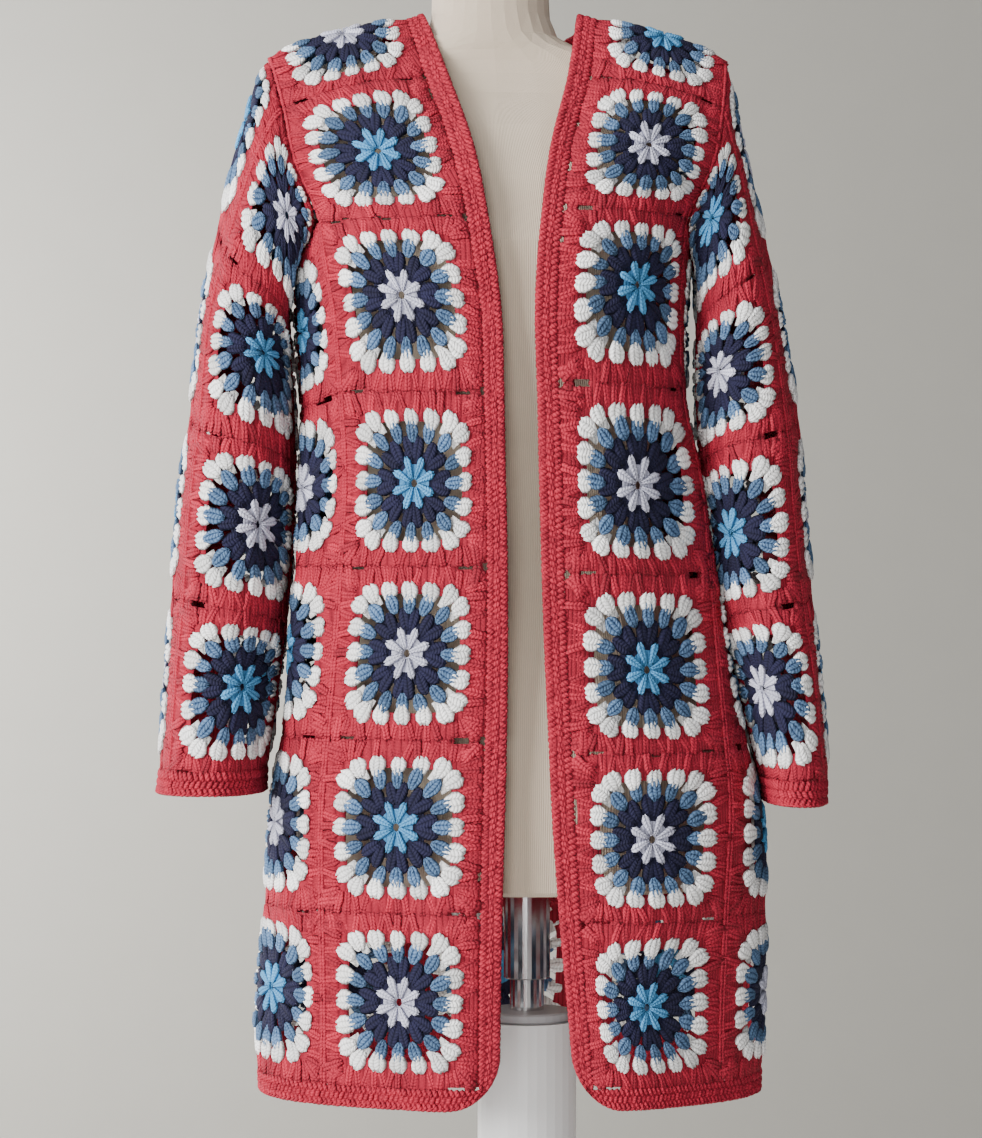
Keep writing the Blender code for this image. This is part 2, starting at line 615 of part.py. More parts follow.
def add_wall(name, points, outward, finish, gaps=(), closed=False):
    """A closed wall between two grids of points, with its gap cells left open."""
    outer, inner = points
    rows, across = outer.shape[:2]
    mesh = bmesh.new()
    shells = [[[mesh.verts.new(point) for point in line] for line in grid]
              for grid in (outer, inner)]
    cells = across if closed else across - 1
    solid = {(row, cell) for row in range(rows - 1) for cell in range(cells)} - set(gaps)
    for row, cell in sorted(solid):
        after = (cell + 1) % across
        ring = ((row, cell), (row, after), (row + 1, after), (row + 1, cell))
        if outward < 0.0:
            ring = ring[::-1]
        for corners in split_cell(outer, ring):
            mesh.faces.new([shells[0][r][c] for r, c in corners])
            mesh.faces.new([shells[1][r][c] for r, c in corners[::-1]])
        beyond = ((row - 1, cell), (row, after), (row + 1, cell), (row, cell - 1))
        if closed:
            beyond = (beyond[0], (row, after), beyond[2], (row, (cell - 1) % across))
        if outward < 0.0:
            beyond = (beyond[2], beyond[1], beyond[0], beyond[3])
        for (start, end), other in zip(zip(ring, ring[1:] + ring[:1]), beyond):
            if other not in solid:
                side = [shells[0][end[0]][end[1]], shells[0][start[0]][start[1]],
                        shells[1][start[0]][start[1]], shells[1][end[0]][end[1]]]
                if start > end:
                    side = side[1:] + side[:1]
                mesh.faces.new(side[1:])
                mesh.faces.new((side[3], side[0], side[1]))
    add_object(name, mesh, finish)


def split_cell(grid, ring):
    """Two triangles of grid indices for a cell, cut along its shorter diagonal.

    The outer and the inner skin are cut alike, so they keep their distance.
    """
    first, second, third, fourth = [grid[row][column] for row, column in ring]
    if np.linalg.norm(third - first) <= np.linalg.norm(fourth - second):
        return (ring[0], ring[1], ring[2]), (ring[0], ring[2], ring[3])
    return (ring[1], ring[2], ring[3]), (ring[1], ring[3], ring[0])


def add_object(name, mesh, finish):
    """Put a finished mesh in the scene under its own name and material."""
    bmesh.ops.recalc_face_normals(mesh, faces=mesh.faces)
    data = bpy.data.meshes.new(name)
    mesh.to_mesh(data)
    mesh.free()
    data.shade_smooth()
    data.set_sharp_from_angle(angle=math.radians(35.0))
    data.materials.append(material(name, finish))
    bpy.context.collection.objects.link(bpy.data.objects.new(name, data))


def material(name, finish):
    """A Principled material with a finish's colour, roughness and metallic value."""
    made = bpy.data.materials.new(name)
    made.use_nodes = True
    shader = made.node_tree.nodes["Principled BSDF"]
    shader.inputs["Base Color"].default_value = (*finish.colour, 1.0)
    shader.inputs["Roughness"].default_value = finish.roughness
    shader.inputs["Metallic"].default_value = finish.metallic
    return made


def square_lines(first, last, fine=None):
    """Mesh lines over whole squares, and which cells hold gaps.

    Squares that fine leaves out have no line through their middle, because the cloth
    is nearly straight there.
    """
    lines, gap_cells = [], []
    for square in range(first, last):
        inside = [line for line in LINES[:-1] if line != 0.5 or fine is None or square in fine]
        gap_cells += [len(lines) + 1, len(lines) + len(inside) - 2]
        lines += [square + line for line in inside]
    return lines + [float(last)], gap_cells


def trimmed(lines, start, end):
    """The lines with both ends drawn in by the given amounts."""
    return [lines[0] + start] + lines[1:-1] + [lines[-1] - end]


def add_squares(name, panel, first, last, fine, joined=(None, None), start=HALF_GAP):
    """A column of squares as one wall, open at each motif's corner gaps."""
    rows, gap_rows = square_lines(first, last, fine)
    across, gap_columns = square_lines(0, 1)
    points = wall_points(panel, trimmed(across, HALF_GAP, HALF_GAP),
                         trimmed(rows, start, HALF_GAP), joined)
    gaps = [(row, cell) for row in gap_rows for cell in gap_columns]
    add_wall(name, points, panel.outward, SQUARE_YARN, gaps)


# ---------------------------------------------------------------- the coat's pieces

def body_panels():
    """Every panel of the body by name."""
    panels = {"back_centre": Panel(back_centre, -1.0, LOWEST, TOP_ROW),
              "side_left": Panel(side_column(1), -1.0, LOWEST, BODY_ROWS),
              "side_right": Panel(side_column(5), -1.0, LOWEST, BODY_ROWS)}
    for side, outward in (("left", -1.0), ("right", 1.0)):
        panels["front_" + side] = Panel(front_column(side), outward, LOWEST, TOP_ROW + 1)
        panels["back_" + side] = Panel(back_column(side), -outward, LOWEST, TOP_ROW + 1)
        panels["band_" + side] = Panel(front_band(side), outward, 0.0, TOP_ROW + 1)
    return panels


def add_body(panels):
    """Fronts, sides, shoulders and back."""
    fine = range(TOP_ROW)
    for side, across in (("left", 0.0), ("right", 1.0)):
        band = ((panels["band_" + side], 1.0), None)
        add_squares("front_" + side, panels["front_" + side], 0, TOP_ROW, fine, band)
        add_squares("shoulder_" + side, panels["front_" + side], TOP_ROW, TOP_ROW + 1,
                    (TOP_ROW,), band)
        add_squares("back_" + side, panels["back_" + side], 0, TOP_ROW, fine,
                    ((panels["back_centre"], across), None))
        add_squares("side_" + side, panels["side_" + side], 0, BODY_ROWS, fine)
    add_squares("back_centre", panels["back_centre"], 0, TOP_ROW, fine,
                ((panels["back_left"], 0.0), (panels["back_right"], 0.0)))


def add_sleeves():
    """Three columns round each arm, and the cuff below them."""
    for side, outward in (("left", 1.0), ("right", -1.0)):
        last = SIDES[side][1][-1].step
        panels = [Panel(sleeve_column(side, column), outward, 0.0, last)
                  for column in range(SLEEVE_COLUMNS)]
        for column, name in enumerate(("front", "outer", "back")):
            joined = ((panels[column - 1], 1.0), (panels[(column + 1) % SLEEVE_COLUMNS], 0.0))
            add_squares("sleeve_%s_%s" % (side, name), panels[column], 0, SLEEVE_ROWS,
                        (0, 1), joined, start=0.0)
        add_cuff(side, outward)


def add_cuff(side, outward):
    """The plain edging round a wrist, one closed tube."""
    def surface(turn, step):
        return sleeve_point(side, turn, step)

    last = SIDES[side][1][-1].step
    panel = Panel(surface, outward, 0.0, last)
    steps = [SLEEVE_ROWS + HALF_GAP, (SLEEVE_ROWS + last) / 2.0, last]
    turns = [(column + line) / SLEEVE_COLUMNS
             for column in range(SLEEVE_COLUMNS) for line in LINES[:-1]]
    points = wall_points(panel, turns, steps, (None, None))
    add_wall("cuff_" + side, points, outward, RED_YARN, closed=True)


def add_bands(panels):
    """The edgings of both fronts, the neck and the hem."""
    across = (0.0, 0.5, 1.0 - 0.5 * SEAM_GAP / FRONT_BAND)
    for side in ("left", "right"):
        rows, unused = square_lines(0, TOP_ROW + 1)
        rows = trimmed([row for row in rows if row <= TOP_ROW + 0.5], HALF_GAP, HALF_GAP)
        panel = panels["band_" + side]
        points = wall_points(panel, across, rows, (None, (panels["front_" + side], 0.0)))
        add_wall("front_band_" + side, points, panel.outward, RED_YARN)
    add_neck_band()
    add_hem_band()


def add_neck_band():
    """The edging round the back of the neck, from ridge to ridge."""
    shoulder = [0.0, 0.3] + [(line - 0.5) * 2.0 for line in LINES if line > 0.5]
    places = shoulder + [1.0 + line for line in LINES[1:-1]]
    places += [3.0 - place for place in shoulder[::-1]]
    across = trimmed([place / 3.0 for place in places], HALF_GAP, HALF_GAP)
    rows = (NECK_EASE / FRONT_BAND, 0.5, 1.0)
    panel = Panel(neck_band, -1.0, 0.0, 1.0)
    add_wall("neck_band", wall_points(panel, across, rows, (None, None)), -1.0, RED_YARN)


def add_hem_band():
    """The edging along the hem, rounded at the foot of each front."""
    corner = HEM_CORNER / ROUND
    ends = corner * (1.0 - np.cos(np.linspace(0.0, math.pi / 2.0, 6)))
    inside = [(column_start(column) + SQUARE * line) / ROUND
               for column in range(BODY_COLUMNS) for line in LINES[:-1]]
    inside = [place for place in inside if corner * 1.1 < place < 1.0 - corner * 1.1]
    across = list(ends) + inside + list(1.0 - ends[::-1])
    panel = Panel(hem_band, -1.0, 0.0, 1.0)
    points = wall_points(panel, across, (0.0, 1.0 - 0.5 * SEAM_GAP / HEM_BAND), (None, None))
    add_wall("hem_band", points, -1.0, RED_YARN)


# ---------------------------------------------------------------- the form and stand

def add_loft(name, sections, finish):
    """A closed solid through rings of points, with flat ends."""
    mesh = bmesh.new()
    rings = [[mesh.verts.new(point) for point in section] for section in sections]
    count = len(rings[0])
    for low, high in zip(rings, rings[1:]):
        for index in range(count):
            after = (index + 1) % count
            mesh.faces.new((low[index], low[after], high[after], high[index]))
    mesh.faces.new(rings[0][::-1])
    mesh.faces.new(rings[-1])
    add_object(name, mesh, finish)


def torso_ring(row, grow=0.0, lift=0.0):
    """One ring of the dress form, wider or higher by the given amounts."""
    points = []
    for angle in np.linspace(0.0, 2.0 * math.pi, TORSO_SIDES, endpoint=False):
        depth = row.front if math.sin(angle) < 0.0 else row.back
        points.append((row.centre + (row.half_width + grow) * math.cos(angle),
                       (depth + grow) * math.sin(angle), HEM_HEIGHT + row.height + lift))
    return points


def add_form():
    """The dress form's torso and the cap on its neck."""
    add_loft("dress_form", [torso_ring(row) for row in TORSO], JERSEY)
    neck = TORSO[-1]
    add_loft("neck_cap", [torso_ring(neck, NECK_CAP_LIP, SEAM_GAP),
                          torso_ring(neck, NECK_CAP_LIP, 0.7 * NECK_CAP),
                          torso_ring(neck, -NECK_CAP_LIP, NECK_CAP)], WHITE_PAINT)


def add_stand():
    """The turned pieces under the form, from the base up."""
    finishes = {"base": WHITE_PAINT, "column": WHITE_PAINT, "column_rim": GREY_PLASTIC,
                "stand_pole": CHROME, "stand_tube": CHROME}
    for piece in STAND:
        low = piece.low + (SEAM_GAP if piece.low > 0.0 else 0.0)
        profile = [(piece.radius - piece.rounding, low), (piece.radius, low + piece.rounding),
                   (piece.radius, piece.high - piece.rounding),
                   (piece.radius - piece.rounding, piece.high)]
        if piece.rounding == 0.0:
            profile = [(piece.radius, low), (piece.radius, piece.high)]
        rings = [[(STAND_X + radius * math.cos(angle), radius * math.sin(angle), height)
                  for angle in np.linspace(0.0, 2.0 * math.pi, STAND_SIDES, endpoint=False)]
                 for radius, height in profile]
        add_loft(piece.name, rings, finishes[piece.name])


def centre_over_origin():
    """Move every piece so that the whole stands centred over the origin."""
    pieces = [piece for piece in bpy.data.objects if piece.type == "MESH"]
    corners = np.array([vertex.co for piece in pieces for vertex in piece.data.vertices])
    middle = (corners.min(axis=0) + corners.max(axis=0)) / 2.0
    for piece in pieces:
        for vertex in piece.data.vertices:
            vertex.co.x -= middle[0]
            vertex.co.y -= middle[1]


def main():
    """Build the whole part."""
    for old in list(bpy.data.objects):
        bpy.data.objects.remove(old, do_unlink=True)
    panels = body_panels()
    add_body(panels)
    add_sleeves()
    add_bands(panels)
    add_form()
    add_stand()
    centre_over_origin()


main()
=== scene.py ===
"""Looks of an open-front coat of crocheted squares on a limbless dress form.

The coat's cloth is worked stitch by stitch: every cluster, post and chain is a small
closed body, laid on the same surfaces that the frame's solids follow.  The form, the
stand, the floor, the light and the camera come after it.  Metres, +Z up, front to -Y.
"""

from __future__ import annotations

import itertools
import logging
import math
from dataclasses import dataclass, field, fields
from enum import Enum
from typing import Callable, Iterable, NamedTuple, Sequence

import bpy
import numpy as np
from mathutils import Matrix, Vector

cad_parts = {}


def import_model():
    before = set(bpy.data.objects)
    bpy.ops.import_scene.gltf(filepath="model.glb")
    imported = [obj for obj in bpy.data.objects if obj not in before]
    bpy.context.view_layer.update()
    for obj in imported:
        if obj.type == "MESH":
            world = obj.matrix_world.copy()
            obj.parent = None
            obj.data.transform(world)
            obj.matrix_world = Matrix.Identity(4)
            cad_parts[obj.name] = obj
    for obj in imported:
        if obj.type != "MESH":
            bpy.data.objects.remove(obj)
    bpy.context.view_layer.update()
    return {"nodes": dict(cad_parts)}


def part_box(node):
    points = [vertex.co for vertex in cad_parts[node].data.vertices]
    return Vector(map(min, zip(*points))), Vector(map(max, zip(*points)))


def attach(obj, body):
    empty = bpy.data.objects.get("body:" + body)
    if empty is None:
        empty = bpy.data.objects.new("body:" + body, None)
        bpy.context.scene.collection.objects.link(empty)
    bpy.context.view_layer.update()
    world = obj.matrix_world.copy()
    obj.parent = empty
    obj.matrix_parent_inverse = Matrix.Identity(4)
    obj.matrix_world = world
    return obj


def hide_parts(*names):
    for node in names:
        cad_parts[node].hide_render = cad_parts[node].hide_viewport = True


LOG = logging.getLogger("coat")
Surface = Callable[[float, float], np.ndarray]
Lay = Callable[[np.ndarray, np.ndarray, np.ndarray], np.ndarray]
Amount = float | np.ndarray

# Sizes of the flat cloth, heights above the floor, and where the stand's axis lies from
# the shape's middle.  A shoulder strip counts in squares, from the front's top row line
# over its ridge to the back's.
SQUARE = 0.140
FRONT_BAND = 0.0175
HEM_BAND = 0.0166
NECK_BAND = 0.024
SEAM_GAP = 0.0003
HEM_HEIGHT = 0.470
HEM_CORNER = 0.045
STAND_X = 0.0315
BODY_COLUMNS = 7
BODY_ROWS = 5
SLEEVE_COLUMNS = 3
SLEEVE_ROWS = 4
TOP_ROW = BODY_ROWS + 1
STRIP_END = 3.0
STRIP_RIDGE = 1.5
ROUND = 2.0 * FRONT_BAND + BODY_COLUMNS * SQUARE
BUST = HEM_BAND + BODY_ROWS * SQUARE


# ------------------------------------------------------------------ the coat's shape

class Section(NamedTuple):
    """One ring of the body below the arms, by its height above the hem."""

    height: float
    centre: float
    half_width: float
    front: float
    back: float
    left_edge: float
    right_edge: float
    squareness: float
    left_seam: float
    right_seam: float


class Fold(NamedTuple):
    """A soft vertical fold: bearing and spread in degrees, depth, and where it lies."""

    bearing: float
    spread: float
    depth: float
    middle: float
    reach: float


class Strip(NamedTuple):
    """One line across a shoulder strip: neck seam, armhole and neckband's free edge."""

    step: float
    inner_x: float
    inner_y: float
    inner_h: float
    outer_x: float
    outer_y: float
    outer_h: float
    edge_x: float
    edge_y: float
    edge_h: float
    crown: float


class Ring(NamedTuple):
    """One ring of a hanging sleeve, by its distance from the armhole in squares."""

    step: float
    x: float
    y: float
    height: float
    half_width: float
    half_depth: float
    tilt: float


class Cap(NamedTuple):
    """How a sleeve leaves the armhole, out and down, and how strongly it then hangs."""

    reach: tuple[float, float]
    fall: float


SECTIONS = (
    Section(-0.03, 0.0170, 0.2080, 0.1290, 0.1250, 0.0084, 0.0730, 2.25, 57.9, 295.3),
    Section(0.070, 0.0175, 0.2120, 0.1300, 0.1240, 0.0084, 0.0640, 2.25, 57.3, 296.3),
    Section(0.160, 0.0215, 0.2090, 0.1310, 0.1220, 0.0100, 0.0560, 2.30, 58.9, 296.5),
    Section(0.240, 0.0225, 0.2065, 0.1320, 0.1190, 0.0122, 0.0505, 2.30, 59.2, 295.4),
    Section(0.300, 0.0200, 0.1950, 0.1330, 0.1160, 0.0136, 0.0478, 2.35, 57.5, 294.8),
    Section(0.370, 0.0155, 0.1820, 0.1350, 0.1110, 0.0145, 0.0445, 2.45, 54.5, 293.7),
    Section(0.440, 0.0130, 0.1715, 0.1370, 0.1050, 0.0142, 0.0422, 2.55, 52.3, 292.7),
    Section(0.510, 0.0100, 0.1645, 0.1390, 0.1000, 0.0128, 0.0403, 2.65, 49.8, 290.8),
    Section(0.575, 0.0045, 0.1575, 0.1410, 0.0960, 0.0115, 0.0388, 2.75, 49.1, 291.5),
    Section(0.640, 0.0020, 0.1600, 0.1430, 0.0950, 0.0095, 0.0370, 2.80, 49.6, 293.0),
    Section(0.7166, 0.0035, 0.1640, 0.1400, 0.0960, -0.0010, 0.0420, 2.90, 55.3, 293.4),
    Section(0.790, 0.0050, 0.1650, 0.1050, 0.0900, -0.0140, 0.0560, 2.90, 63.6, 285.4),
)
FOLDS = (
    Fold(22, 14, 0.0080, 0.02, 0.22),
    Fold(68, 9, 0.0100, 0.42, 0.17),
    Fold(84, 8, -0.0120, 0.44, 0.16),
    Fold(103, 9, 0.0110, 0.56, 0.24),
    Fold(121, 8, -0.0120, 0.54, 0.26),
    Fold(138, 8, 0.0100, 0.52, 0.30),
    Fold(157, 9, -0.0110, 0.50, 0.24),
    Fold(176, 9, 0.0090, 0.50, 0.32),
    Fold(196, 9, -0.0110, 0.52, 0.24),
    Fold(216, 8, 0.0100, 0.54, 0.30),
    Fold(236, 8, -0.0120, 0.52, 0.26),
    Fold(254, 9, 0.0110, 0.55, 0.24),
    Fold(274, 8, -0.0120, 0.44, 0.16),
    Fold(290, 9, 0.0090, 0.42, 0.17),
    Fold(322, 14, 0.0090, 0.02, 0.24),
    Fold(150, 12, 0.0060, 0.05, 0.16),
    Fold(208, 12, 0.0060, 0.05, 0.16),
)
STRIPS = {
    "left": (
        Strip(0.5, -0.0324, -0.1064, 0.782, -0.160, -0.0780, 0.768,
              -0.0130, -0.1130, 0.778, 0.013),
        Strip(1.0, -0.0521, -0.0560, 0.841, -0.171, -0.0520, 0.816,
              -0.0335, -0.0600, 0.842, 0.010),
        Strip(1.5, -0.0700, -0.0080, 0.897, -0.186, -0.0080, 0.865,
              -0.0550, -0.0080, 0.901, 0.006),
        Strip(2.0, -0.0710, 0.0390, 0.857, -0.178, 0.0340, 0.817,
              -0.0520, 0.0360, 0.877, 0.009),
        Strip(2.5, -0.0610, 0.0740, 0.790, -0.168, 0.0480, 0.767,
              -0.0520, 0.0500, 0.800, 0.012),
    ),
    "right": (
        Strip(0.5, 0.0675, -0.1064, 0.782, 0.184, -0.0780, 0.768,
              0.0500, -0.1130, 0.778, 0.013),
        Strip(1.0, 0.0825, -0.0560, 0.841, 0.194, -0.0520, 0.816,
              0.0650, -0.0600, 0.842, 0.010),
        Strip(1.5, 0.0905, -0.0080, 0.897, 0.199, -0.0080, 0.862,
              0.0740, -0.0080, 0.901, 0.006),
        Strip(2.0, 0.0910, 0.0390, 0.857, 0.190, 0.0340, 0.817,
              0.0720, 0.0360, 0.877, 0.009),
        Strip(2.5, 0.0850, 0.0740, 0.790, 0.184, 0.0480, 0.767,
              0.0720, 0.0500, 0.800, 0.012),
    ),
}
RINGS = {
    "left": (
        Ring(1.5, -0.2035, -0.014, 0.609, 0.0375, 0.088, 0.030),
        Ring(2.0, -0.2070, -0.012, 0.541, 0.0425, 0.086, 0.022),
        Ring(2.5, -0.2130, -0.011, 0.472, 0.0465, 0.084, 0.017),
        Ring(3.0, -0.2180, -0.011, 0.403, 0.0460, 0.084, 0.012),
        Ring(3.5, -0.2240, -0.012, 0.341, 0.0455, 0.084, 0.006),
        Ring(4.0, -0.2310, -0.013, 0.269, 0.0430, 0.085, 0.000),
        Ring(4.25, -0.2330, -0.013, 0.250, 0.0440, 0.085, 0.000),
    ),
    "right": (
        Ring(1.5, 0.2100, -0.014, 0.609, 0.0350, 0.089, 0.030),
        Ring(2.0, 0.2175, -0.012, 0.541, 0.0390, 0.088, 0.022),
        Ring(2.5, 0.2240, -0.011, 0.472, 0.0380, 0.088, 0.017),
        Ring(3.0, 0.2320, -0.011, 0.403, 0.0360, 0.090, 0.012),
        Ring(3.5, 0.2430, -0.012, 0.338, 0.0320, 0.093, 0.006),
        Ring(4.0, 0.2535, -0.013, 0.262, 0.0260, 0.096, 0.000),
        Ring(4.25, 0.2550, -0.013, 0.242, 0.0240, 0.096, 0.000),
    ),
}
CAPS = {"left": Cap((0.038, 0.030), 0.190), "right": Cap((0.016, 0.140), 0.120)}
UNDERARM = Cap((0.050, 0.000), 0.120)
SIDE_DIPS = ((0, 0.0), (3, 0.0), (4, 0.008), (5, 0.024))
SIGNS = {"left": -1.0, "right": 1.0}
UNDERARM_TURN = {"left": -0.006, "right": 0.002}
PROBE = 1e-3


def hermite(start: Amount, start_slope: Amount, end: Amount, end_slope: Amount,
            part: float) -> Amount:
    """Place on the cubic between two ends with the given slopes.

    Args:
        start: value at the start.
        start_slope: slope there, over the whole span.
        end: value at the end.
        end_slope: slope there, over the whole span.
        part: how far along the span, 0 to 1.

    Returns:
        The value there.
    """
    square, cube = part * part, part ** 3
    return ((2 * cube - 3 * square + 1) * start + (cube - 2 * square + part) * start_slope
            + (3 * square - 2 * cube) * end + (cube - square) * end_slope)


def smooth(rows: Sequence[NamedTuple], column: str, at: float) -> float:
    """Value of a table's column on a smooth curve along the table's first column.

    Args:
        rows: the table, in rising order of its first column.
        column: name of the column that is read.
        at: place along the first column.

    Returns:
        The value there.
    """
    keys = np.array([row[0] for row in rows])
    values = np.array([getattr(row, column) for row in rows])
    slopes = np.gradient(values, keys)
    at = float(np.clip(at, keys[0], keys[-1]))
    index = int(np.clip(np.searchsorted(keys, at) - 1, 0, len(keys) - 2))
    span = keys[index + 1] - keys[index]
    return hermite(values[index], slopes[index] * span, values[index + 1],
                   slopes[index + 1] * span, (at - keys[index]) / span)


def run_length(points: np.ndarray) -> np.ndarray:
    """Distance along a polyline of each of its points."""
    steps = np.linalg.norm(np.diff(points, axis=0), axis=1)
    return np.concatenate(([0.0], np.cumsum(steps)))


def at_length(points: np.ndarray, length: np.ndarray, wanted: Amount) -> np.ndarray:
    """Points of a polyline at the wanted distances along it."""
    return np.stack([np.interp(wanted, length, points[:, axis]) for axis in range(3)], -1)


def along(points: Sequence[np.ndarray], fractions: np.ndarray) -> np.ndarray:
    """Points at the given fractions of a polyline's length.

    Args:
        points: the polyline.
        fractions: places along it, 0 to 1.

    Returns:
        The points there.
    """
    points = np.asarray(points)
    length = run_length(points)
    return at_length(points, length, fractions * length[-1])


def oval(first: Amount, second: Amount, power: float) -> Amount:
    """Radius of a squarish oval, from a direction's parts over its half widths."""
    return (np.abs(first) ** power + np.abs(second) ** power) ** (-1.0 / power)


def arch(across: float) -> float:
    """A low arch over a panel: 0 at its two sides and 1 in the middle."""
    return 4.0 * across * (1.0 - across)


def unit(vector: np.ndarray) -> np.ndarray:
    """The vector at length one."""
    return vector / np.linalg.norm(vector)


def column_start(column: int) -> float:
    """Flat distance from the left front edge to the start of a column of squares."""
    return FRONT_BAND + column * SQUARE


def row_height(row: float) -> float:
    """Height above the hem of a row line, counted from the bottom."""
    return HEM_BAND + row * SQUARE


SEAM_PLACES = (0.0, column_start(1), column_start(BODY_COLUMNS - 1), ROUND)


@dataclass
class CoatShape:
    """The surfaces that the coat's cloth follows, as the frame's solids do.

    Each surface is a function of two numbers, across and along its panel.
    """

    ring_samples: int = 720
    front_search: float = 60.0
    front_samples: int = 241
    profile_samples: int = 33
    shoulder_samples: int = 13
    underarm_samples: int = 7
    sleeve_samples: int = 361
    armhole_samples: int = 24
    armhole_smoothing: int = 6
    armhole_ease: float = 0.0012
    cap_spread: float = 0.068
    sleeve_squareness: float = 2.3
    back_neck_crown: float = 0.012
    neck_edge_crown: float = 0.009
    neck_rounding: float = 0.35
    kept: dict[tuple, tuple | np.ndarray] = field(default_factory=dict)

    def ring_radius(self, bearing: np.ndarray, height: float) -> np.ndarray:
        """Distance of the body's ring from its centre, folds included.

        Args:
            bearing: directions from the centre, in radians round by the left.
            height: the ring's height above the hem.

        Returns:
            The distances.
        """
        half_width = smooth(SECTIONS, "half_width", height)
        power = smooth(SECTIONS, "squareness", height)
        depth = np.where(np.cos(bearing) > 0.0, smooth(SECTIONS, "front", height),
                         smooth(SECTIONS, "back", height))
        radius = oval(np.sin(bearing) / half_width, np.cos(bearing) / depth, power)
        for fold in FOLDS:
            turn = (np.degrees(bearing) - fold.bearing + 180.0) % 360.0 - 180.0
            fade = math.exp(-((height - fold.middle) / fold.reach) ** 2)
            radius = radius + fold.depth * fade * np.exp(-(turn / fold.spread) ** 2)
        return radius

    def ring_curve(self, height: float) -> tuple[np.ndarray, np.ndarray, tuple[float, ...]]:
        """The body's ring from the left front edge round the back to the right one.

        Args:
            height: its height above the hem.

        Returns:
            Its points, their distances along it, and those of its ends and front seams.
        """
        key = ("ring", round(height, 7))
        if key not in self.kept:
            centre = smooth(SECTIONS, "centre", height)
            near_front = np.radians(np.linspace(-self.front_search, self.front_search,
                                                self.front_samples))
            front_x = centre - self.ring_radius(near_front, height) * np.sin(near_front)
            edges = [smooth(SECTIONS, name, height) for name in ("left_edge", "right_edge")]
            start, end = np.interp(edges, front_x[::-1], near_front[::-1])
            bearing = np.linspace(start, end + 2.0 * math.pi, self.ring_samples)
            radius = self.ring_radius(bearing, height)
            points = np.stack([centre - radius * np.sin(bearing), -radius * np.cos(bearing),
                               np.full_like(bearing, HEM_HEIGHT + height)], -1)
            length = run_length(points)
            seams = [smooth(SECTIONS, name, height) for name in ("left_seam", "right_seam")]
            seams = np.interp(np.radians(seams), bearing, length)
            self.kept[key] = (points, length, (0.0, seams[0], seams[1], length[-1]))
        return self.kept[key]

    def body_point(self, place: float, height: float) -> np.ndarray:
        """Point of the coat's body; place is the flat distance from the left edge."""
        points, length, seams = self.ring_curve(height)
        return at_length(points, length, np.interp(place, SEAM_PLACES, seams))

    def side_point(self, side: str, place: float, height: float) -> np.ndarray:
        """Point of the body; place is the flat distance from the side's own edge."""
        return self.body_point(ROUND - place if side == "right" else place, height)

    def strip_anchor(self, side: str, step: float, name: str) -> np.ndarray:
        """Point of a shoulder strip's table, or of the body's ring beyond its ends.

        Args:
            side: left or right.
            step: place along the strip in squares, from the front's top row line.
            name: the long line it lies on, edge, inner or outer.

        Returns:
            The point.
        """
        for row in STRIPS[side]:
            if row.step == step:
                return np.array([getattr(row, name + "_x"), getattr(row, name + "_y"),
                                 HEM_HEIGHT + getattr(row, name + "_h")])
        if step <= 0.0:
            place = {"edge": 0.0, "inner": FRONT_BAND, "outer": column_start(1)}[name]
            height = BUST + step * SQUARE
        else:
            place = {"inner": column_start(3), "outer": column_start(2)}[name]
            height = BUST - (step - STRIP_END) * SQUARE
        return self.side_point(side, place, height)

    def strip_line(self, side: str, name: str, step: float) -> np.ndarray:
        """Point on one of a shoulder strip's long lines, smooth through its anchors.

        Args:
            side: left or right.
            name: the line, edge, inner or outer.
            step: place along it in squares, from the front's top row line.

        Returns:
            The point.
        """
        key = ("line", side, name)
        if key not in self.kept:
            last = STRIP_END - 0.5 if name == "edge" else STRIP_END + 0.5
            steps = np.arange(-0.5, last + 0.25, 0.5)
            anchors = np.array([self.strip_anchor(side, at, name) for at in steps])
            self.kept[key] = (steps, anchors, np.gradient(anchors, steps, axis=0))
        steps, anchors, slopes = self.kept[key]
        index = int(np.clip(np.searchsorted(steps, step) - 1, 0, len(steps) - 2))
        span = steps[index + 1] - steps[index]
        return hermite(anchors[index], slopes[index] * span, anchors[index + 1],
                       slopes[index + 1] * span, (step - steps[index]) / span)

    @staticmethod
    def strip_outward(side: str, lengthwise: np.ndarray, over: np.ndarray) -> np.ndarray:
        """Unit vector out of the coat, square to a strip's length and to its width."""
        return unit(np.cross(lengthwise, over)) * -SIGNS[side]

    def ring_profile(self, side: str, front: bool) -> tuple[np.ndarray, np.ndarray]:
        """A column's ring at the top of the lower rows, measured from its chord.

        Args:
            side: left or right.
            front: whether it is the front's column or the back's.

        Returns:
            Shares of the chord and distances out from it.
        """
        key = ("profile", side, front)
        if key not in self.kept:
            first = column_start(0) if front else column_start(2)
            places = first + SQUARE * np.linspace(0.0, 1.0, self.profile_samples)
            points = np.array([self.side_point(side, place, BUST) for place in places])
            if not front:
                points = points[::-1]
            chord = points[-1] - points[0]
            upright = np.array([0.0, 0.0, 1.0 if front else -1.0])
            run = (points - points[0]) @ chord / (chord @ chord)
            rise = (points - points[0]) @ self.strip_outward(side, upright, chord)
            self.kept[key] = (run, rise)
        return self.kept[key]

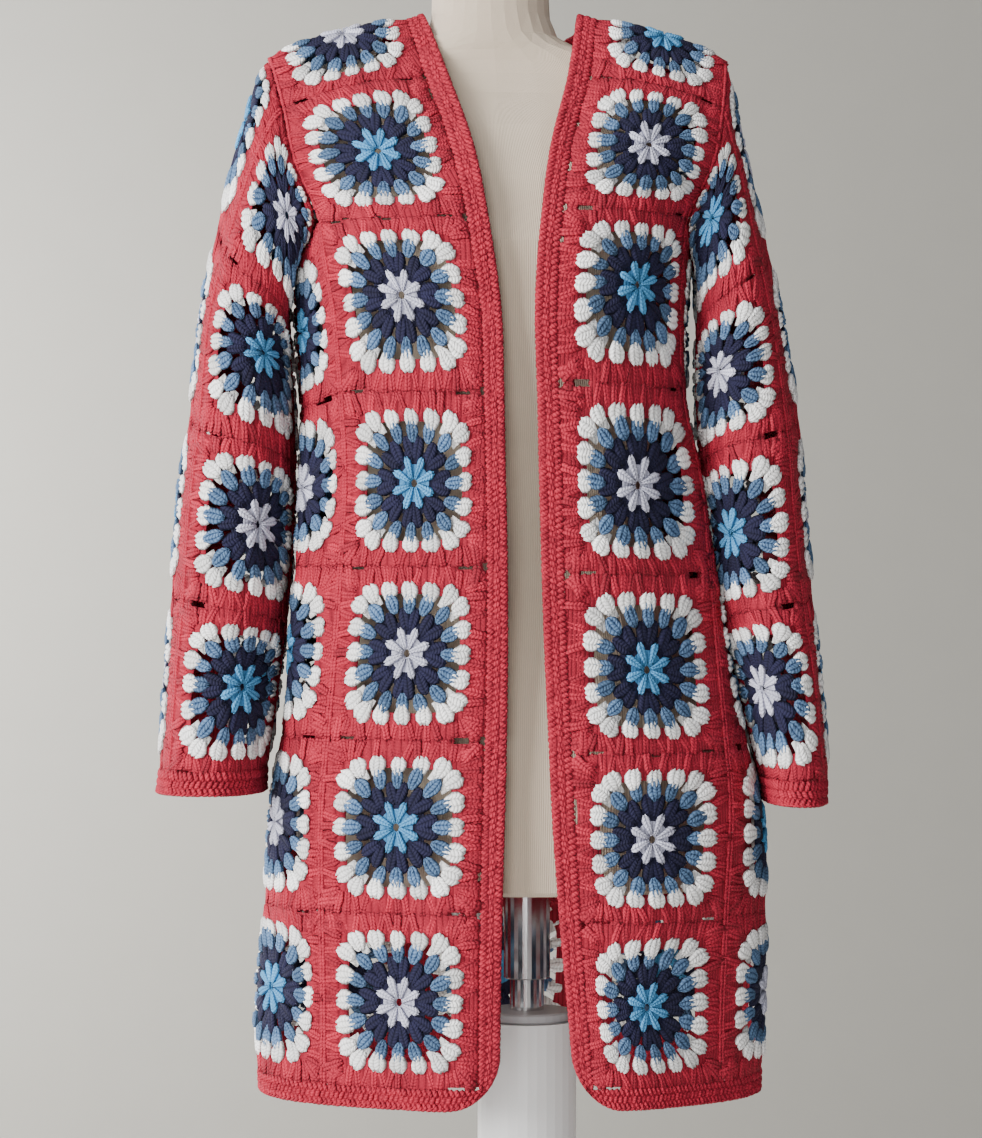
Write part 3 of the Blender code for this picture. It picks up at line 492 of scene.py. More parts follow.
    def strip_point(self, side: str, across: float, step: float) -> np.ndarray:
        """Point of a shoulder strip.

        Args:
            side: left or right.
            across: place over its width, from the neck seam to the armhole.
            step: place along it in squares, from the front's top row line.

        Returns:
            The point.
        """
        inner = self.strip_line(side, "inner", step)
        outer = self.strip_line(side, "outer", step)
        blend = min(step, STRIP_END - step, 1.0)
        blend = blend * blend * (3.0 - 2.0 * blend)
        run, rise = self.ring_profile(side, step < STRIP_RIDGE)
        places = np.linspace(0.0, 1.0, len(run))
        ring_run = np.interp(across, places, run)
        ring_rise = np.interp(across, places, rise)
        crown = smooth(STRIPS[side], "crown", step) * arch(across)
        run_here = ring_run + (across - ring_run) * blend
        rise_here = ring_rise + (crown - ring_rise) * blend
        ahead, behind = [self.strip_line(side, "inner", step + probe)
                         + self.strip_line(side, "outer", step + probe)
                         for probe in (PROBE, -PROBE)]
        upright = np.array([0.0, 0.0, 1.0 if step < STRIP_RIDGE else -1.0])
        lengthwise = upright + (unit(ahead - behind) - upright) * blend
        outward = self.strip_outward(side, lengthwise, outer - inner)
        return inner + (outer - inner) * run_here + outward * rise_here

    def front(self, side: str) -> Surface:
        """Surface of a front and its shoulder.

        Args:
            side: left or right.

        Returns:
            The surface, across from the band and up from the hem.
        """
        def surface(across: float, row: float) -> np.ndarray:
            """Point of the front.

            Args:
                across: place over the column.
                row: row line, counted up from the hem.

            Returns:
                The point.
            """
            if row <= BODY_ROWS:
                place = FRONT_BAND + across * SQUARE
                return self.side_point(side, place, row_height(row))
            return self.strip_point(side, across, row - BODY_ROWS)
        return surface

    @staticmethod
    def side_drop(across: float, row: float) -> float:
        """How far a side column's row line sags between its seams."""
        rows, drops = zip(*SIDE_DIPS)
        return float(np.interp(row, rows, drops)) * arch(across)

    def side(self, column: int) -> Surface:
        """Surface of the column under an arm, whose top dips to the underarm.

        Args:
            column: its number, counted from the left front edge.

        Returns:
            The surface.
        """
        def surface(across: float, row: float) -> np.ndarray:
            """Point of the side."""
            height = row_height(row) - self.side_drop(across, row)
            return self.body_point(column_start(column) + across * SQUARE, height)
        return surface

    def back(self, side: str) -> Surface:
        """Surface of the back's left or right column.

        Args:
            side: left or right.

        Returns:
            The surface, across from its inner seam.
        """
        def surface(across: float, row: float) -> np.ndarray:
            """Point of the back.

            Args:
                across: place over the column.
                row: row line, counted up from the hem.

            Returns:
                The point.
            """
            if row <= BODY_ROWS:
                place = column_start(3) - across * SQUARE
                return self.side_point(side, place, row_height(row))
            return self.strip_point(side, across, STRIP_END - (row - BODY_ROWS))
        return surface

    def back_centre(self, across: float, row: float) -> np.ndarray:
        """Surface of the back's middle column.

        Args:
            across: place between the two inner seams.
            row: row line, counted up from the bottom.

        Returns:
            The point.
        """
        if row <= BODY_ROWS:
            return self.body_point(column_start(3) + across * SQUARE, row_height(row))
        part = row - BODY_ROWS
        left = self.strip_line("left", "inner", STRIP_END - part)
        right = self.strip_line("right", "inner", STRIP_END - part)
        places = column_start(3) + SQUARE * np.array([0.0, across, 1.0])
        low_left, low, low_right = [self.body_point(place, BUST) for place in places]
        bow = low - (low_left + (low_right - low_left) * across)
        crown = self.back_neck_crown * arch(across)
        bow = bow * (1.0 - part) + np.array([0.0, crown, 0.0]) * part
        return left + (right - left) * across + bow

    @staticmethod
    def corner_inset(height: float) -> float:
        """How far the rounded foot of a front stands back from the straight edge."""
        below = max(HEM_CORNER - height, 0.0)
        return HEM_CORNER - math.sqrt(max(HEM_CORNER ** 2 - below ** 2, 0.0))

    def front_band(self, side: str) -> Surface:
        """Surface of a front edging.

        Args:
            side: left or right.

        Returns:
            The surface, across from the free edge to the seam.
        """
        def surface(across: float, row: float) -> np.ndarray:
            """Point of the edging.

            Args:
                across: place over it, from the free edge.
                row: row line, counted up from the hem.

            Returns:
                The point.
            """
            if row <= BODY_ROWS:
                cut = self.corner_inset(row_height(row))
                place = cut + across * (FRONT_BAND - cut)
                return self.side_point(side, place, row_height(row))
            edge = self.strip_line(side, "edge", row - BODY_ROWS)
            inner = self.strip_line(side, "inner", row - BODY_ROWS)
            return edge + (inner - edge) * across
        return surface

    def hem_band(self, across: float, part: float) -> np.ndarray:
        """Surface of the hem's edging.

        Args:
            across: place round the hem, from the left front edge.
            part: place up from the free edge to the seam.

        Returns:
            The point.
        """
        inset = self.corner_inset(HEM_BAND) + SEAM_GAP
        place = inset + across * (ROUND - 2.0 * inset)
        foot = min(self.corner_inset(min(place, ROUND - place)), HEM_BAND - 2.0 * SEAM_GAP)
        return self.body_point(place, foot + part * (HEM_BAND - foot))

    def neck_seam(self, place: float) -> np.ndarray:
        """Edge that the neckband is worked on.

        Args:
            place: 0 to 3 from ridge to ridge behind the neck.

        Returns:
            The point.
        """
        if 1.0 < place < 2.0:
            return self.back_centre(place - 1.0, TOP_ROW)
        side = "left" if place <= 1.0 else "right"
        return self.strip_line(side, "inner",
                               STRIP_RIDGE + 0.5 * min(place, 3.0 - place))

    def neck_edge(self, place: float) -> np.ndarray:
        """Free edge of the neckband before its two corners are rounded off.

        Args:
            place: 0 to 3 from ridge to ridge, as on the seam.

        Returns:
            The point.
        """
        if not 1.0 < place < 2.0:
            side = "left" if place <= 1.0 else "right"
            return self.strip_line(side, "edge",
                                   STRIP_RIDGE + 0.5 * min(place, 3.0 - place))
        across = place - 1.0
        left = self.strip_line("left", "edge", 2.0)
        right = self.strip_line("right", "edge", 2.0)
        crown = self.neck_edge_crown * arch(across)
        return left + (right - left) * across + np.array([0.0, crown, 0.0])

    def neck_band(self, across: float, row: float) -> np.ndarray:
        """Surface of the neckband.

        Args:
            across: place round it, from ridge to ridge behind the neck.
            row: place over it, from the seam to the free edge.

        Returns:
            The point.
        """
        place = across * 3.0
        window = self.neck_rounding * min(1.0, 2.0 * place, 2.0 * (3.0 - place))
        edge = sum(self.neck_edge(place + shift) for shift in (-window, 0.0, window)) / 3.0
        seam = self.neck_seam(place)
        return seam + (edge - seam) * row

    def armhole_ring(self, side: str) -> np.ndarray:
        """The sleeve's edge at the armhole.

        Args:
            side: left or right.

        Returns:
            Its points, from the underarm round by the front.
        """
        key = ("armhole", side)
        if key not in self.kept:
            first = column_start(1) if side == "left" else ROUND - column_start(1)

            def underarm(across: float) -> np.ndarray:
                """Point on the side column's top edge."""
                height = row_height(BODY_ROWS) - self.side_drop(across, BODY_ROWS)
                return self.body_point(first - SIGNS[side] * across * SQUARE, height)

            def line(start: float, end: float) -> list[np.ndarray]:
                """Points on the shoulder strip's outer edge."""
                return [self.strip_line(side, "outer", step)
                        for step in np.linspace(start, end, self.shoulder_samples)]

            half = np.linspace(0.5, 0.0, self.underarm_samples)
            front = [underarm(across) for across in half]
            front += line(0.0, 1.0)[1:]
            back = line(2.0, STRIP_END)
            back += [underarm(across) for across in 0.5 + half[1:]]
            fractions = np.arange(self.armhole_samples) / self.armhole_samples
            ring = np.concatenate([along(curve, fractions)
                                   for curve in (front, line(1.0, 2.0), back)])
            for _ in range(self.armhole_smoothing):
                ring = (0.25 * np.roll(ring, 1, axis=0) + 0.5 * ring
                        + 0.25 * np.roll(ring, -1, axis=0))
            self.kept[key] = ring
        return self.kept[key]

    def armhole_point(self, side: str, turn: float) -> np.ndarray:
        """Point on the armhole.

        Args:
            side: left or right.
            turn: 0 to 1 from the underarm round by the front.

        Returns:
            The point.
        """
        ring = self.armhole_ring(side)
        place = (turn % 1.0) * len(ring)
        index = int(place)
        before, here, after, beyond = [ring[(index + offset) % len(ring)]
                                       for offset in (-1, 0, 1, 2)]
        return hermite(here, 0.5 * (after - before), after, 0.5 * (beyond - here),
                       place - index)

    def sleeve_ring_point(self, side: str, turn: float, step: float) -> np.ndarray:
        """Point on a hanging sleeve ring.

        Args:
            side: left or right.
            turn: 0 to 1 along the ring, from the underarm round by the front.
            step: the ring's distance from the armhole, in squares.

        Returns:
            The point.
        """
        key = ("sleeve", side, round(step, 7))
        if key not in self.kept:
            value = {name: smooth(RINGS[side], name, step) for name in Ring._fields[1:]}
            angle = np.linspace(0.0, 2.0 * math.pi, self.sleeve_samples)
            radius = oval(np.cos(angle) / value["half_width"],
                          np.sin(angle) / value["half_depth"], self.sleeve_squareness)
            points = np.stack([
                value["x"] - SIGNS[side] * radius * np.cos(angle),
                value["y"] - radius * np.sin(angle),
                HEM_HEIGHT + value["height"] - value["tilt"] * np.cos(angle)], -1)
            self.kept[key] = (points, run_length(points))
        points, length = self.kept[key]
        wanted = (turn * length[-1] - UNDERARM_TURN[side]) % length[-1]
        return at_length(points, length, wanted)

    def sleeve_point(self, side: str, turn: float, step: float) -> np.ndarray:
        """Point of a sleeve.

        Args:
            side: left or right.
            turn: 0 to 1 round it, from the underarm by the front.
            step: place down it from the armhole, in squares.

        Returns:
            The point.
        """
        hang = RINGS[side][0].step
        if step >= hang:
            return self.sleeve_ring_point(side, turn, step)
        end = self.sleeve_ring_point(side, turn, hang)
        top = 0.5 - 0.5 * math.cos(2.0 * math.pi * turn)
        cap = CAPS[side]
        reach = np.array(UNDERARM.reach) + top * (np.array(cap.reach)
                                                  - np.array(UNDERARM.reach))
        fall = UNDERARM.fall + top * (cap.fall - UNDERARM.fall)
        leave = np.array([SIGNS[side] * reach[0], 0.0, -reach[1]])
        start = self.armhole_point(side, turn) + unit(leave) * self.armhole_ease
        leave[1] = -self.cap_spread * math.sin(2.0 * math.pi * turn)
        below = self.sleeve_ring_point(side, turn, hang + PROBE) - end
        return hermite(start, leave, end, unit(below) * fall, step / hang)

    def sleeve(self, side: str, column: int) -> Surface:
        """Surface of a sleeve's column.

        Args:
            side: left or right.
            column: 0 to 2 from the underarm round by the front.

        Returns:
            The surface, down from the armhole.
        """
        def surface(across: float, row: float) -> np.ndarray:
            """Point of the column."""
            return self.sleeve_point(side, (column + across) / SLEEVE_COLUMNS, row)
        return surface


class Patch:
    """A stretch of cloth as a fine grid of points, on which stitches are laid."""

    def __init__(self, surface: Surface, across: np.ndarray, rows: np.ndarray,
                 outward: float, offset: np.ndarray) -> None:
        """Sample a surface.

        Args:
            surface: point of the cloth for a place across and along it.
            across: places across, evenly spaced.
            rows: places along, evenly spaced.
            outward: sign that turns the grid's normals out of the coat.
            offset: where the shape's origin stands in the frame.
        """
        self.points = np.array([[surface(a, r) for a in across] for r in rows]) + offset
        sideways = np.gradient(self.points, axis=1)
        upwards = np.gradient(self.points, axis=0)
        normals = np.cross(sideways, upwards) * outward
        self.normals = normals / np.linalg.norm(normals, axis=2, keepdims=True)
        self.start = (across[0], rows[0])
        self.pitch = (across[1] - across[0], rows[1] - rows[0])

    def lay(self, across: np.ndarray, row: np.ndarray, lift: np.ndarray) -> np.ndarray:
        """Points above the cloth at places across and along it.

        Args:
            across: places across the cloth.
            row: places along it.
            lift: distances out of its middle surface.

        Returns:
            The points, one row of three coordinates each.
        """
        count_row, count_across = self.points.shape[:2]
        a = (across - self.start[0]) / self.pitch[0]
        r = (row - self.start[1]) / self.pitch[1]
        a_cell = np.clip(a.astype(int), 0, count_across - 2)
        r_cell = np.clip(r.astype(int), 0, count_row - 2)
        a_part = (a - a_cell)[:, None]
        r_part = (r - r_cell)[:, None]

        def mixed(grid: np.ndarray) -> np.ndarray:
            """Values of a grid, mixed from the corners of each place's cell.

            Args:
                grid: three numbers at each of the patch's points.

            Returns:
                Three numbers for each place.
            """
            low = grid[r_cell, a_cell] * (1 - a_part) + grid[r_cell, a_cell + 1] * a_part
            high = (grid[r_cell + 1, a_cell] * (1 - a_part)
                    + grid[r_cell + 1, a_cell + 1] * a_part)
            return low * (1 - r_part) + high * r_part

        normal = mixed(self.normals)
        normal = normal / np.linalg.norm(normal, axis=1, keepdims=True)
        return mixed(self.points) + normal * lift[:, None]


# ------------------------------------------------------------------ yarn and finishes

class Yarn(Enum):
    """The yarns of the coat, in the order of a piece's material slots."""

    RED = 0
    WHITE = 1
    BLUE = 2
    NAVY = 3
    SKY = 4
    LILAC = 5


class Wire:
    """A node socket; arithmetic on it adds Math nodes to its graph."""

    def __init__(self, graph: Graph, socket: bpy.types.NodeSocket) -> None:
        """Wrap a socket of a graph."""
        self.graph = graph
        self.socket = socket

    def maths(self, operation: str, first: Value, second: Value | None = None) -> Wire:
        """A Math node on one or two values."""
        values = {0: first} if second is None else {0: first, 1: second}
        return self.graph.node("ShaderNodeMath", {"operation": operation}, values)

    def __add__(self, other: Value) -> Wire:
        """Sum."""
        return self.maths("ADD", self, other)

    def __sub__(self, other: Value) -> Wire:
        """Difference."""
        return self.maths("SUBTRACT", self, other)

    def __rsub__(self, other: Value) -> Wire:
        """Difference from a number."""
        return self.maths("SUBTRACT", other, self)

    def __mul__(self, other: Value) -> Wire:
        """Product."""
        return self.maths("MULTIPLY", self, other)

    def __pow__(self, other: Value) -> Wire:
        """Power."""
        return self.maths("POWER", self, other)

    def triangle(self) -> Wire:
        """0 half way between whole numbers, 1 on them."""
        return self.maths("ABSOLUTE", self.maths("FRACT", self) * 2.0 - 1.0)


Value = Wire | float
Setting = dict[str | int, Value | tuple[float, ...]]


class Graph:
    """The node graph of one material."""

    def __init__(self, material: bpy.types.Material) -> None:
        """Take up a material, with its Principled shader.

        Args:
            material: the material.
        """
        self.material = material
        self.material.use_nodes = True
        self.nodes = self.material.node_tree.nodes
        self.links = self.material.node_tree.links
        self.shader = self.nodes["Principled BSDF"]

    def node(self, kind: str, settings: dict[str, str], values: Setting,
             output: int | str = 0) -> Wire:
        """Add a node.

        Args:
            kind: the node's type.
            settings: its properties, set first.
            values: its sockets by name or number, each a number, colour or Wire.
            output: the socket that is handed back.

        Returns:
            That socket as a Wire.
        """
        made = self.nodes.new(kind)
        for key, value in settings.items():
            setattr(made, key, value)
        self.feed(made, values)
        return Wire(self, made.outputs[output])

    def feed(self, node: bpy.types.Node, values: Setting) -> None:
        """Set or link a node's sockets.

        Args:
            node: the node.
            values: its sockets by name or number, each a number, colour or Wire.
        """
        for key, value in values.items():
            if isinstance(value, Wire):
                self.links.new(value.socket, node.inputs[key])
            else:
                node.inputs[key].default_value = value

    def mix(self, factor: Value, first: Value | tuple[float, ...],
            second: Value | tuple[float, ...]) -> Wire:
        """Mix of two colours."""
        return self.node("ShaderNodeMix", {"data_type": "RGBA"},
                         {0: factor, 6: first, 7: second}, 2)

    def noise(self, scale: float, detail: float) -> Wire:
        """Noise on the piece's Object coordinates."""
        place = self.node("ShaderNodeTexCoord", {}, {}, "Object")
        return self.node("ShaderNodeTexNoise", {},
                         {"Vector": place, "Scale": scale, "Detail": detail})

    def bump(self, height: Wire, strength: float, distance: float) -> Wire:
        """A Bump node's normal."""
        return self.node("ShaderNodeBump", {}, {"Height": height, "Strength": strength,
                                                "Distance": distance})


Colour = tuple[float, float, float]


def rgba(colour: Colour, scale: float = 1.0) -> tuple[float, float, float, float]:
    """A colour with alpha one, brighter or darker by a factor."""
    return (*(min(part * scale, 1.0) for part in colour), 1.0)


@dataclass(frozen=True)
class YarnFinish:
    """A spun yarn: its colour, the painted shade colour deep between its strands and plies,
    towards which its fuzz's random tone also darkens, and its fuzz.
    """

    name: str
    colour: Colour
    # painted shade: the colour that the grooves between strands and plies darken to; the
    # fuzz noise's random tone also darkens towards it
    painted_shade_and_fuzz_colour: Colour
    sheen: float = 0.25
    roughness: float = 0.82
    ply: float = 3.5
    ply_slant: float = 0.8
    # painted shade: how much darker the grooves between the plies are
    ply_painted_shade: float = 0.34
    # painted shade: how much darker the grooves between the strands are
    groove: float = 0.55
    fuzz_scale: float = 1500.0
    fuzz_shade: float = 0.6
    patch_scale: float = 60.0
    patch_shade: float = 0.4
    tone_shade: float = 0.5
    relief: float = 0.0011
    fuzz_relief: float = 0.3
    ply_relief: float = 0.7
    groove_relief: float = 0.9

    def build(self) -> bpy.types.Material:
        """Make the yarn's material; its strands follow the stitches' UV map.

        Returns:
            The material.
        """
        graph = Graph(bpy.data.materials.new(self.name))
        place = graph.node("ShaderNodeUVMap", {"uv_map": "strand"}, {})
        sideways = graph.node("ShaderNodeSeparateXYZ", {}, {0: place})
        lengthwise = Wire(graph, sideways.socket.node.outputs[1])
        groove = sideways.triangle() ** 3.0
        slant = (sideways * 0.5).triangle() * self.ply_slant
        plies = (lengthwise * self.ply + slant).triangle() ** 2.0
        fuzz = graph.noise(self.fuzz_scale, 2.0)
        patches = graph.noise(self.patch_scale, 1.0)
        tone = graph.node("ShaderNodeAttribute", {"attribute_name": "tone"}, {}, "Fac")
        # painted shade: darker in the grooves between strands and between plies; the fuzz
        # noise adds random tone
        shade = (groove * self.groove + plies * self.ply_painted_shade
                 + (fuzz - 0.5) * self.fuzz_shade)
        colour = graph.mix(shade, rgba(self.colour), rgba(self.painted_shade_and_fuzz_colour))
        value = (tone - 0.5) * self.tone_shade + (patches - 0.5) * self.patch_shade + 1.0
        colour = graph.node("ShaderNodeHueSaturation", {}, {"Value": value, "Color": colour})
        height = (fuzz * self.fuzz_relief - plies * self.ply_relief
                  - groove * self.groove_relief)
        graph.feed(graph.shader, {
            "Base Color": colour, "Roughness": self.roughness,
            "Sheen Weight": self.sheen, "Sheen Roughness": 0.5,
            "Sheen Tint": rgba(self.colour, 1.4), "Specular IOR Level": 0.25,
            "Normal": graph.bump(height, 0.8, self.relief)})
        return graph.material


# Each yarn's second colour is the painted shade in the grooves between its strands and
# plies, and groove sets how much of it is painted there.
YARNS = {
    Yarn.RED: YarnFinish("red_yarn", (0.41, 0.019, 0.042), (0.155, 0.004, 0.012),
                         sheen=0.12, groove=0.7),
    Yarn.WHITE: YarnFinish("white_yarn", (0.93, 0.915, 0.90), (0.46, 0.45, 0.44),
                           groove=0.7),
    Yarn.BLUE: YarnFinish("mid_blue_yarn", (0.106, 0.187, 0.320), (0.014, 0.038, 0.095),
                          groove=0.95, ply_painted_shade=0.5),
    Yarn.NAVY: YarnFinish("navy_yarn", (0.0130, 0.0125, 0.040), (0.0025, 0.0025, 0.010),
                          sheen=0.12),
    Yarn.SKY: YarnFinish("sky_blue_yarn", (0.095, 0.33, 0.60), (0.020, 0.10, 0.25)),
    Yarn.LILAC: YarnFinish("lilac_white_yarn", (0.60, 0.60, 0.72), (0.24, 0.24, 0.34)),
}


# ------------------------------------------------------------------ stitches

class Stitch:
    """One crocheted element, lying flat: a closed body of a few dozen faces.

    It runs along +Y from its foot at 0 to its head at 1, is 2 wide and 2 thick, and
    is scaled to its real size where it is laid.
    """

    roundness: float = 0.88
    underside: tuple[tuple[float, float], ...] = ((0.62, -0.75), (0.0, -0.90),
                                                  (-0.62, -0.75))
    sway_step: float = 2.1

    def __init__(self, strands: int, outline: Sequence[tuple[float, float, float]],
                 groove: float, wobble: float = 0.0, tooth: float = 0.0) -> None:
        """Loft the body.

        Args:
            strands: ridges that show side by side on its face.
            outline: rows of place along, half width and half thickness.
            groove: how deep the face sinks between the strands.
            wobble: how far the ridges sway sideways along the stitch.
            tooth: how far the strands stand out beyond the grooves at the head.
        """
        top = np.linspace(-1.0, 1.0, 2 * strands + 1)
        valley = np.arange(len(top)) % 2 == 0
        rise = np.sqrt(1.0 - (self.roundness * top) ** 2)
        rise[valley] *= 1.0 - groove
        rise[[0, -1]] = 0.0
        below, under = np.array(self.underside).T
        across = np.concatenate((top, below))
        height = np.concatenate((rise, under))
        crest = np.concatenate((~valley, [False] * len(below)))
        around = len(across)
        points, strand_uv = [], []
        for number, (place, half_width, half_thick) in enumerate(outline):
            sway = wobble * crest * math.sin(self.sway_step * number)
            reach = place + tooth * (crest - 0.5) * (number / (len(outline) - 1)) ** 3
            points.append(np.stack([(across + sway) * half_width, reach,
                                    height * half_thick], -1))
            strand_uv.append(np.stack([(across + 1.0) * 0.5 * strands,
                                       np.full(around, place)], -1))
        self.points = np.concatenate(points)
        self.uv = np.concatenate(strand_uv)
        self.faces = self.loft_faces(around, len(outline))

    @staticmethod
    def loft_faces(around: int, rings: int) -> np.ndarray:
        """Four-sided faces of a loft, its two ends closed by strips.

        Args:
            around: points in each ring.
            rings: how many rings it has.

        Returns:
            The faces' point numbers, facing outward.
        """
        faces = []
        for ring in range(rings - 1):
            for here in range(around):
                after = (here + 1) % around
                low, high = ring * around, (ring + 1) * around
                faces.append((low + here, low + after, high + after, high + here))
        last = (rings - 1) * around
        for number in range(around // 2 - 1):
            ends = (number, number + 1, around - 2 - number, around - 1 - number)
            faces.append(ends[::-1])
            faces.append(tuple(last + end for end in ends))
        return np.array(faces)


@dataclass(frozen=True)
class Placing:
    """Where and how large one stitch is laid on flat cloth, in metres and radians."""

    x: float
    y: float
    turn: float
    length: float
    width: float
    thickness: float
    lift: float = 0.0


class Cloth:
    """The joined stitches of one piece of the coat."""

    turn_stray: float = 0.045
    length_stray: float = 0.03
    width_stray: float = 0.04
    lift_stray: float = 0.0003
    tone_stray: float = 0.2
    yarn_repeat: float = 0.010
    weave_repeat: float = 0.004
    wall_tone: float = 0.42

    def __init__(self, seed: int, outward: float) -> None:
        """Start an empty piece.

        Args:
            seed: start of its random draws.
            outward: sign of the patch that it is laid on, which turns its faces.
        """
        self.random = np.random.default_rng(seed)
        self.turn = slice(None, None, int(outward))
        self.points: list[np.ndarray] = []
        self.uvs: list[np.ndarray] = []
        self.tones: list[np.ndarray] = []
        self.faces: list[np.ndarray] = []
        self.yarns: list[np.ndarray] = []
        self.count = 0

    def add(self, stitch: Stitch, places: Sequence[Placing], yarn: Yarn, lay: Lay,
            jitter: float = 1.0) -> None:
        """Lay one kind of stitch in many places.

        Args:
            stitch: the element that is repeated.
            places: where each one goes on the flat cloth.
            yarn: the yarn it is worked in.
            lay: turns flat places and heights into points of the coat.
            jitter: how uneven the hand work is.
        """
        table = np.array([(p.x, p.y, p.turn, p.length, p.width, p.thickness, p.lift)
                          for p in places])
        number = len(table)
        draw = self.random.normal(0.0, 1.0, (number, 5)).clip(-2.0, 2.0) * jitter
        x, y, turn, length, width, thickness, lift = table.T
        turn = turn + draw[:, 0] * self.turn_stray
        length = length * (1.0 + draw[:, 1] * self.length_stray)
        width = width * (1.0 + draw[:, 2] * self.width_stray)
        lift = lift + draw[:, 3] * self.lift_stray
        local_x = stitch.points[None, :, 0] * width[:, None] * 0.5
        local_y = (stitch.points[None, :, 1] - 0.5) * length[:, None]
        cos, sin = np.cos(turn)[:, None], np.sin(turn)[:, None]
        flat_x = x[:, None] + local_x * cos - local_y * sin
        flat_y = y[:, None] + local_x * sin + local_y * cos
        height = stitch.points[None, :, 2] * thickness[:, None] * 0.5 + lift[:, None]
        points = lay(flat_x.ravel(), flat_y.ravel(), height.ravel())
        size = len(stitch.points)
        uv = np.broadcast_to(stitch.uv, (number, size, 2)).copy()
        uv[:, :, 1] *= length[:, None] / self.yarn_repeat
        uv[:, :, 1] += np.arange(number)[:, None]
        tone = np.broadcast_to(0.5 + self.tone_stray * draw[:, 4:5], (number, size))
        shift = (np.arange(number) * size + self.count)[:, None, None]
        faces = (stitch.faces[None, :, self.turn] + shift).reshape(-1, 4)
        self.keep(points, uv.reshape(-1, 2), tone.ravel(), faces, yarn)

    def add_cord(self, path: np.ndarray, normal: np.ndarray, radii: np.ndarray,
                 yarn: Yarn) -> None:
        """Lay a thin four-sided cord along a path on the coat.

        Args:
            path: its points.
            normal: directions out of the cloth at those points.
            radii: the cord's radius at each point.
            yarn: the yarn it is worked in.
        """
        sides = 4
        ahead = np.gradient(path, axis=0)
        ahead = ahead / np.linalg.norm(ahead, axis=1, keepdims=True)
        sideways = np.cross(normal, ahead)
        sideways = sideways / np.linalg.norm(sideways, axis=1, keepdims=True)
        angle = 2.0 * math.pi * (np.arange(sides) + 0.5) / sides
        ring = (np.cos(angle)[None, :, None] * sideways[:, None]
                + np.sin(angle)[None, :, None] * normal[:, None])
        points = path[:, None] + ring * radii[:, None, None]
        uv = np.stack(np.broadcast_arrays(np.arange(sides)[None] / sides + 0.25,
                                          run_length(path)[:, None] / self.yarn_repeat), -1)
        self.keep(points.reshape(-1, 3), uv.reshape(-1, 2), np.full(len(path) * sides, 0.5),
                  Stitch.loft_faces(sides, len(path)) + self.count, yarn)

    def keep(self, points: np.ndarray, uv: np.ndarray, tone: np.ndarray,
             faces: np.ndarray, yarn: Yarn) -> None:
        """Take in one more lot of stitches.

        Args:
            points: their points.
            uv: the strand map at the points.
            tone: how light or dark each point is, about 0.5.
            faces: their faces, numbered from the piece's first point.
            yarn: the yarn they are worked in.
        """
        self.points.append(points)
        self.uvs.append(uv)
        self.tones.append(tone)
        self.faces.append(faces)
        self.yarns.append(np.full(len(faces), yarn.value))
        self.count += len(points)

    def take(self, faces: Sequence[tuple[int, ...]], yarn: Yarn) -> None:
        """Take in faces between the points that hold() takes in next."""
        self.faces.append(np.array(faces)[:, self.turn] + self.count)
        self.yarns.append(np.full(len(faces), yarn.value))

    def hold(self, points: np.ndarray) -> None:
        """Take in points of a plain wall, whose weave follows their places.

        Args:
            points: the points.
        """
        self.points.append(points)
        weave = np.stack([points[:, 0] + points[:, 1], points[:, 2]], -1)
        self.uvs.append(weave / self.weave_repeat)
        self.tones.append(np.full(len(points), self.wall_tone))
        self.count += len(points)

    def build(self, name: str, materials: Sequence[bpy.types.Material]) -> bpy.types.Object:
        """Join all that was taken in into one object.

        Args:
            name: the object's name.
            materials: a material for each yarn, in order.

        Returns:
            The object, linked to the scene.
        """
        faces = np.concatenate(self.faces)
        points = np.concatenate(self.points)
        mesh = bpy.data.meshes.new(name)
        mesh.vertices.add(len(points))
        mesh.vertices.foreach_set("co", points.ravel())
        mesh.loops.add(faces.size)
        mesh.loops.foreach_set("vertex_index", faces.ravel())
        mesh.polygons.add(len(faces))
        mesh.polygons.foreach_set("loop_start", np.arange(len(faces)) * 4)
        for finish in materials:
            mesh.materials.append(finish)
        mesh.polygons.foreach_set("material_index", np.concatenate(self.yarns))
        mesh.update(calc_edges=True)
        layer = mesh.uv_layers.new(name="strand")
        layer.data.foreach_set("uv", np.concatenate(self.uvs)[faces.ravel()].ravel())
        tone = mesh.attributes.new("tone", "FLOAT", "POINT")
        tone.data.foreach_set("value", np.concatenate(self.tones))
        mesh.shade_smooth()
        mesh.validate()
        piece = bpy.data.objects.new(name, mesh)
        bpy.context.collection.objects.link(piece)
        return piece


def rounded(angle: float, reach: float, power: float) -> tuple[float, float]:
    """Point on a rounded square, at an angle and with a half width.

    Args:
        angle: bearing from the square's centre.
        reach: half width of the rounded square.
        power: 2 makes it a circle, and a high number a true square.

    Returns:
        Its x and y.
    """
    radius = reach * oval(math.cos(angle), math.sin(angle), power)
    return radius * math.cos(angle), radius * math.sin(angle)


class Round(NamedTuple):
    """One line of a square's ground: half width, squareness, and the yarn outside it."""

    reach: float
    power: float
    yarn: Yarn | None


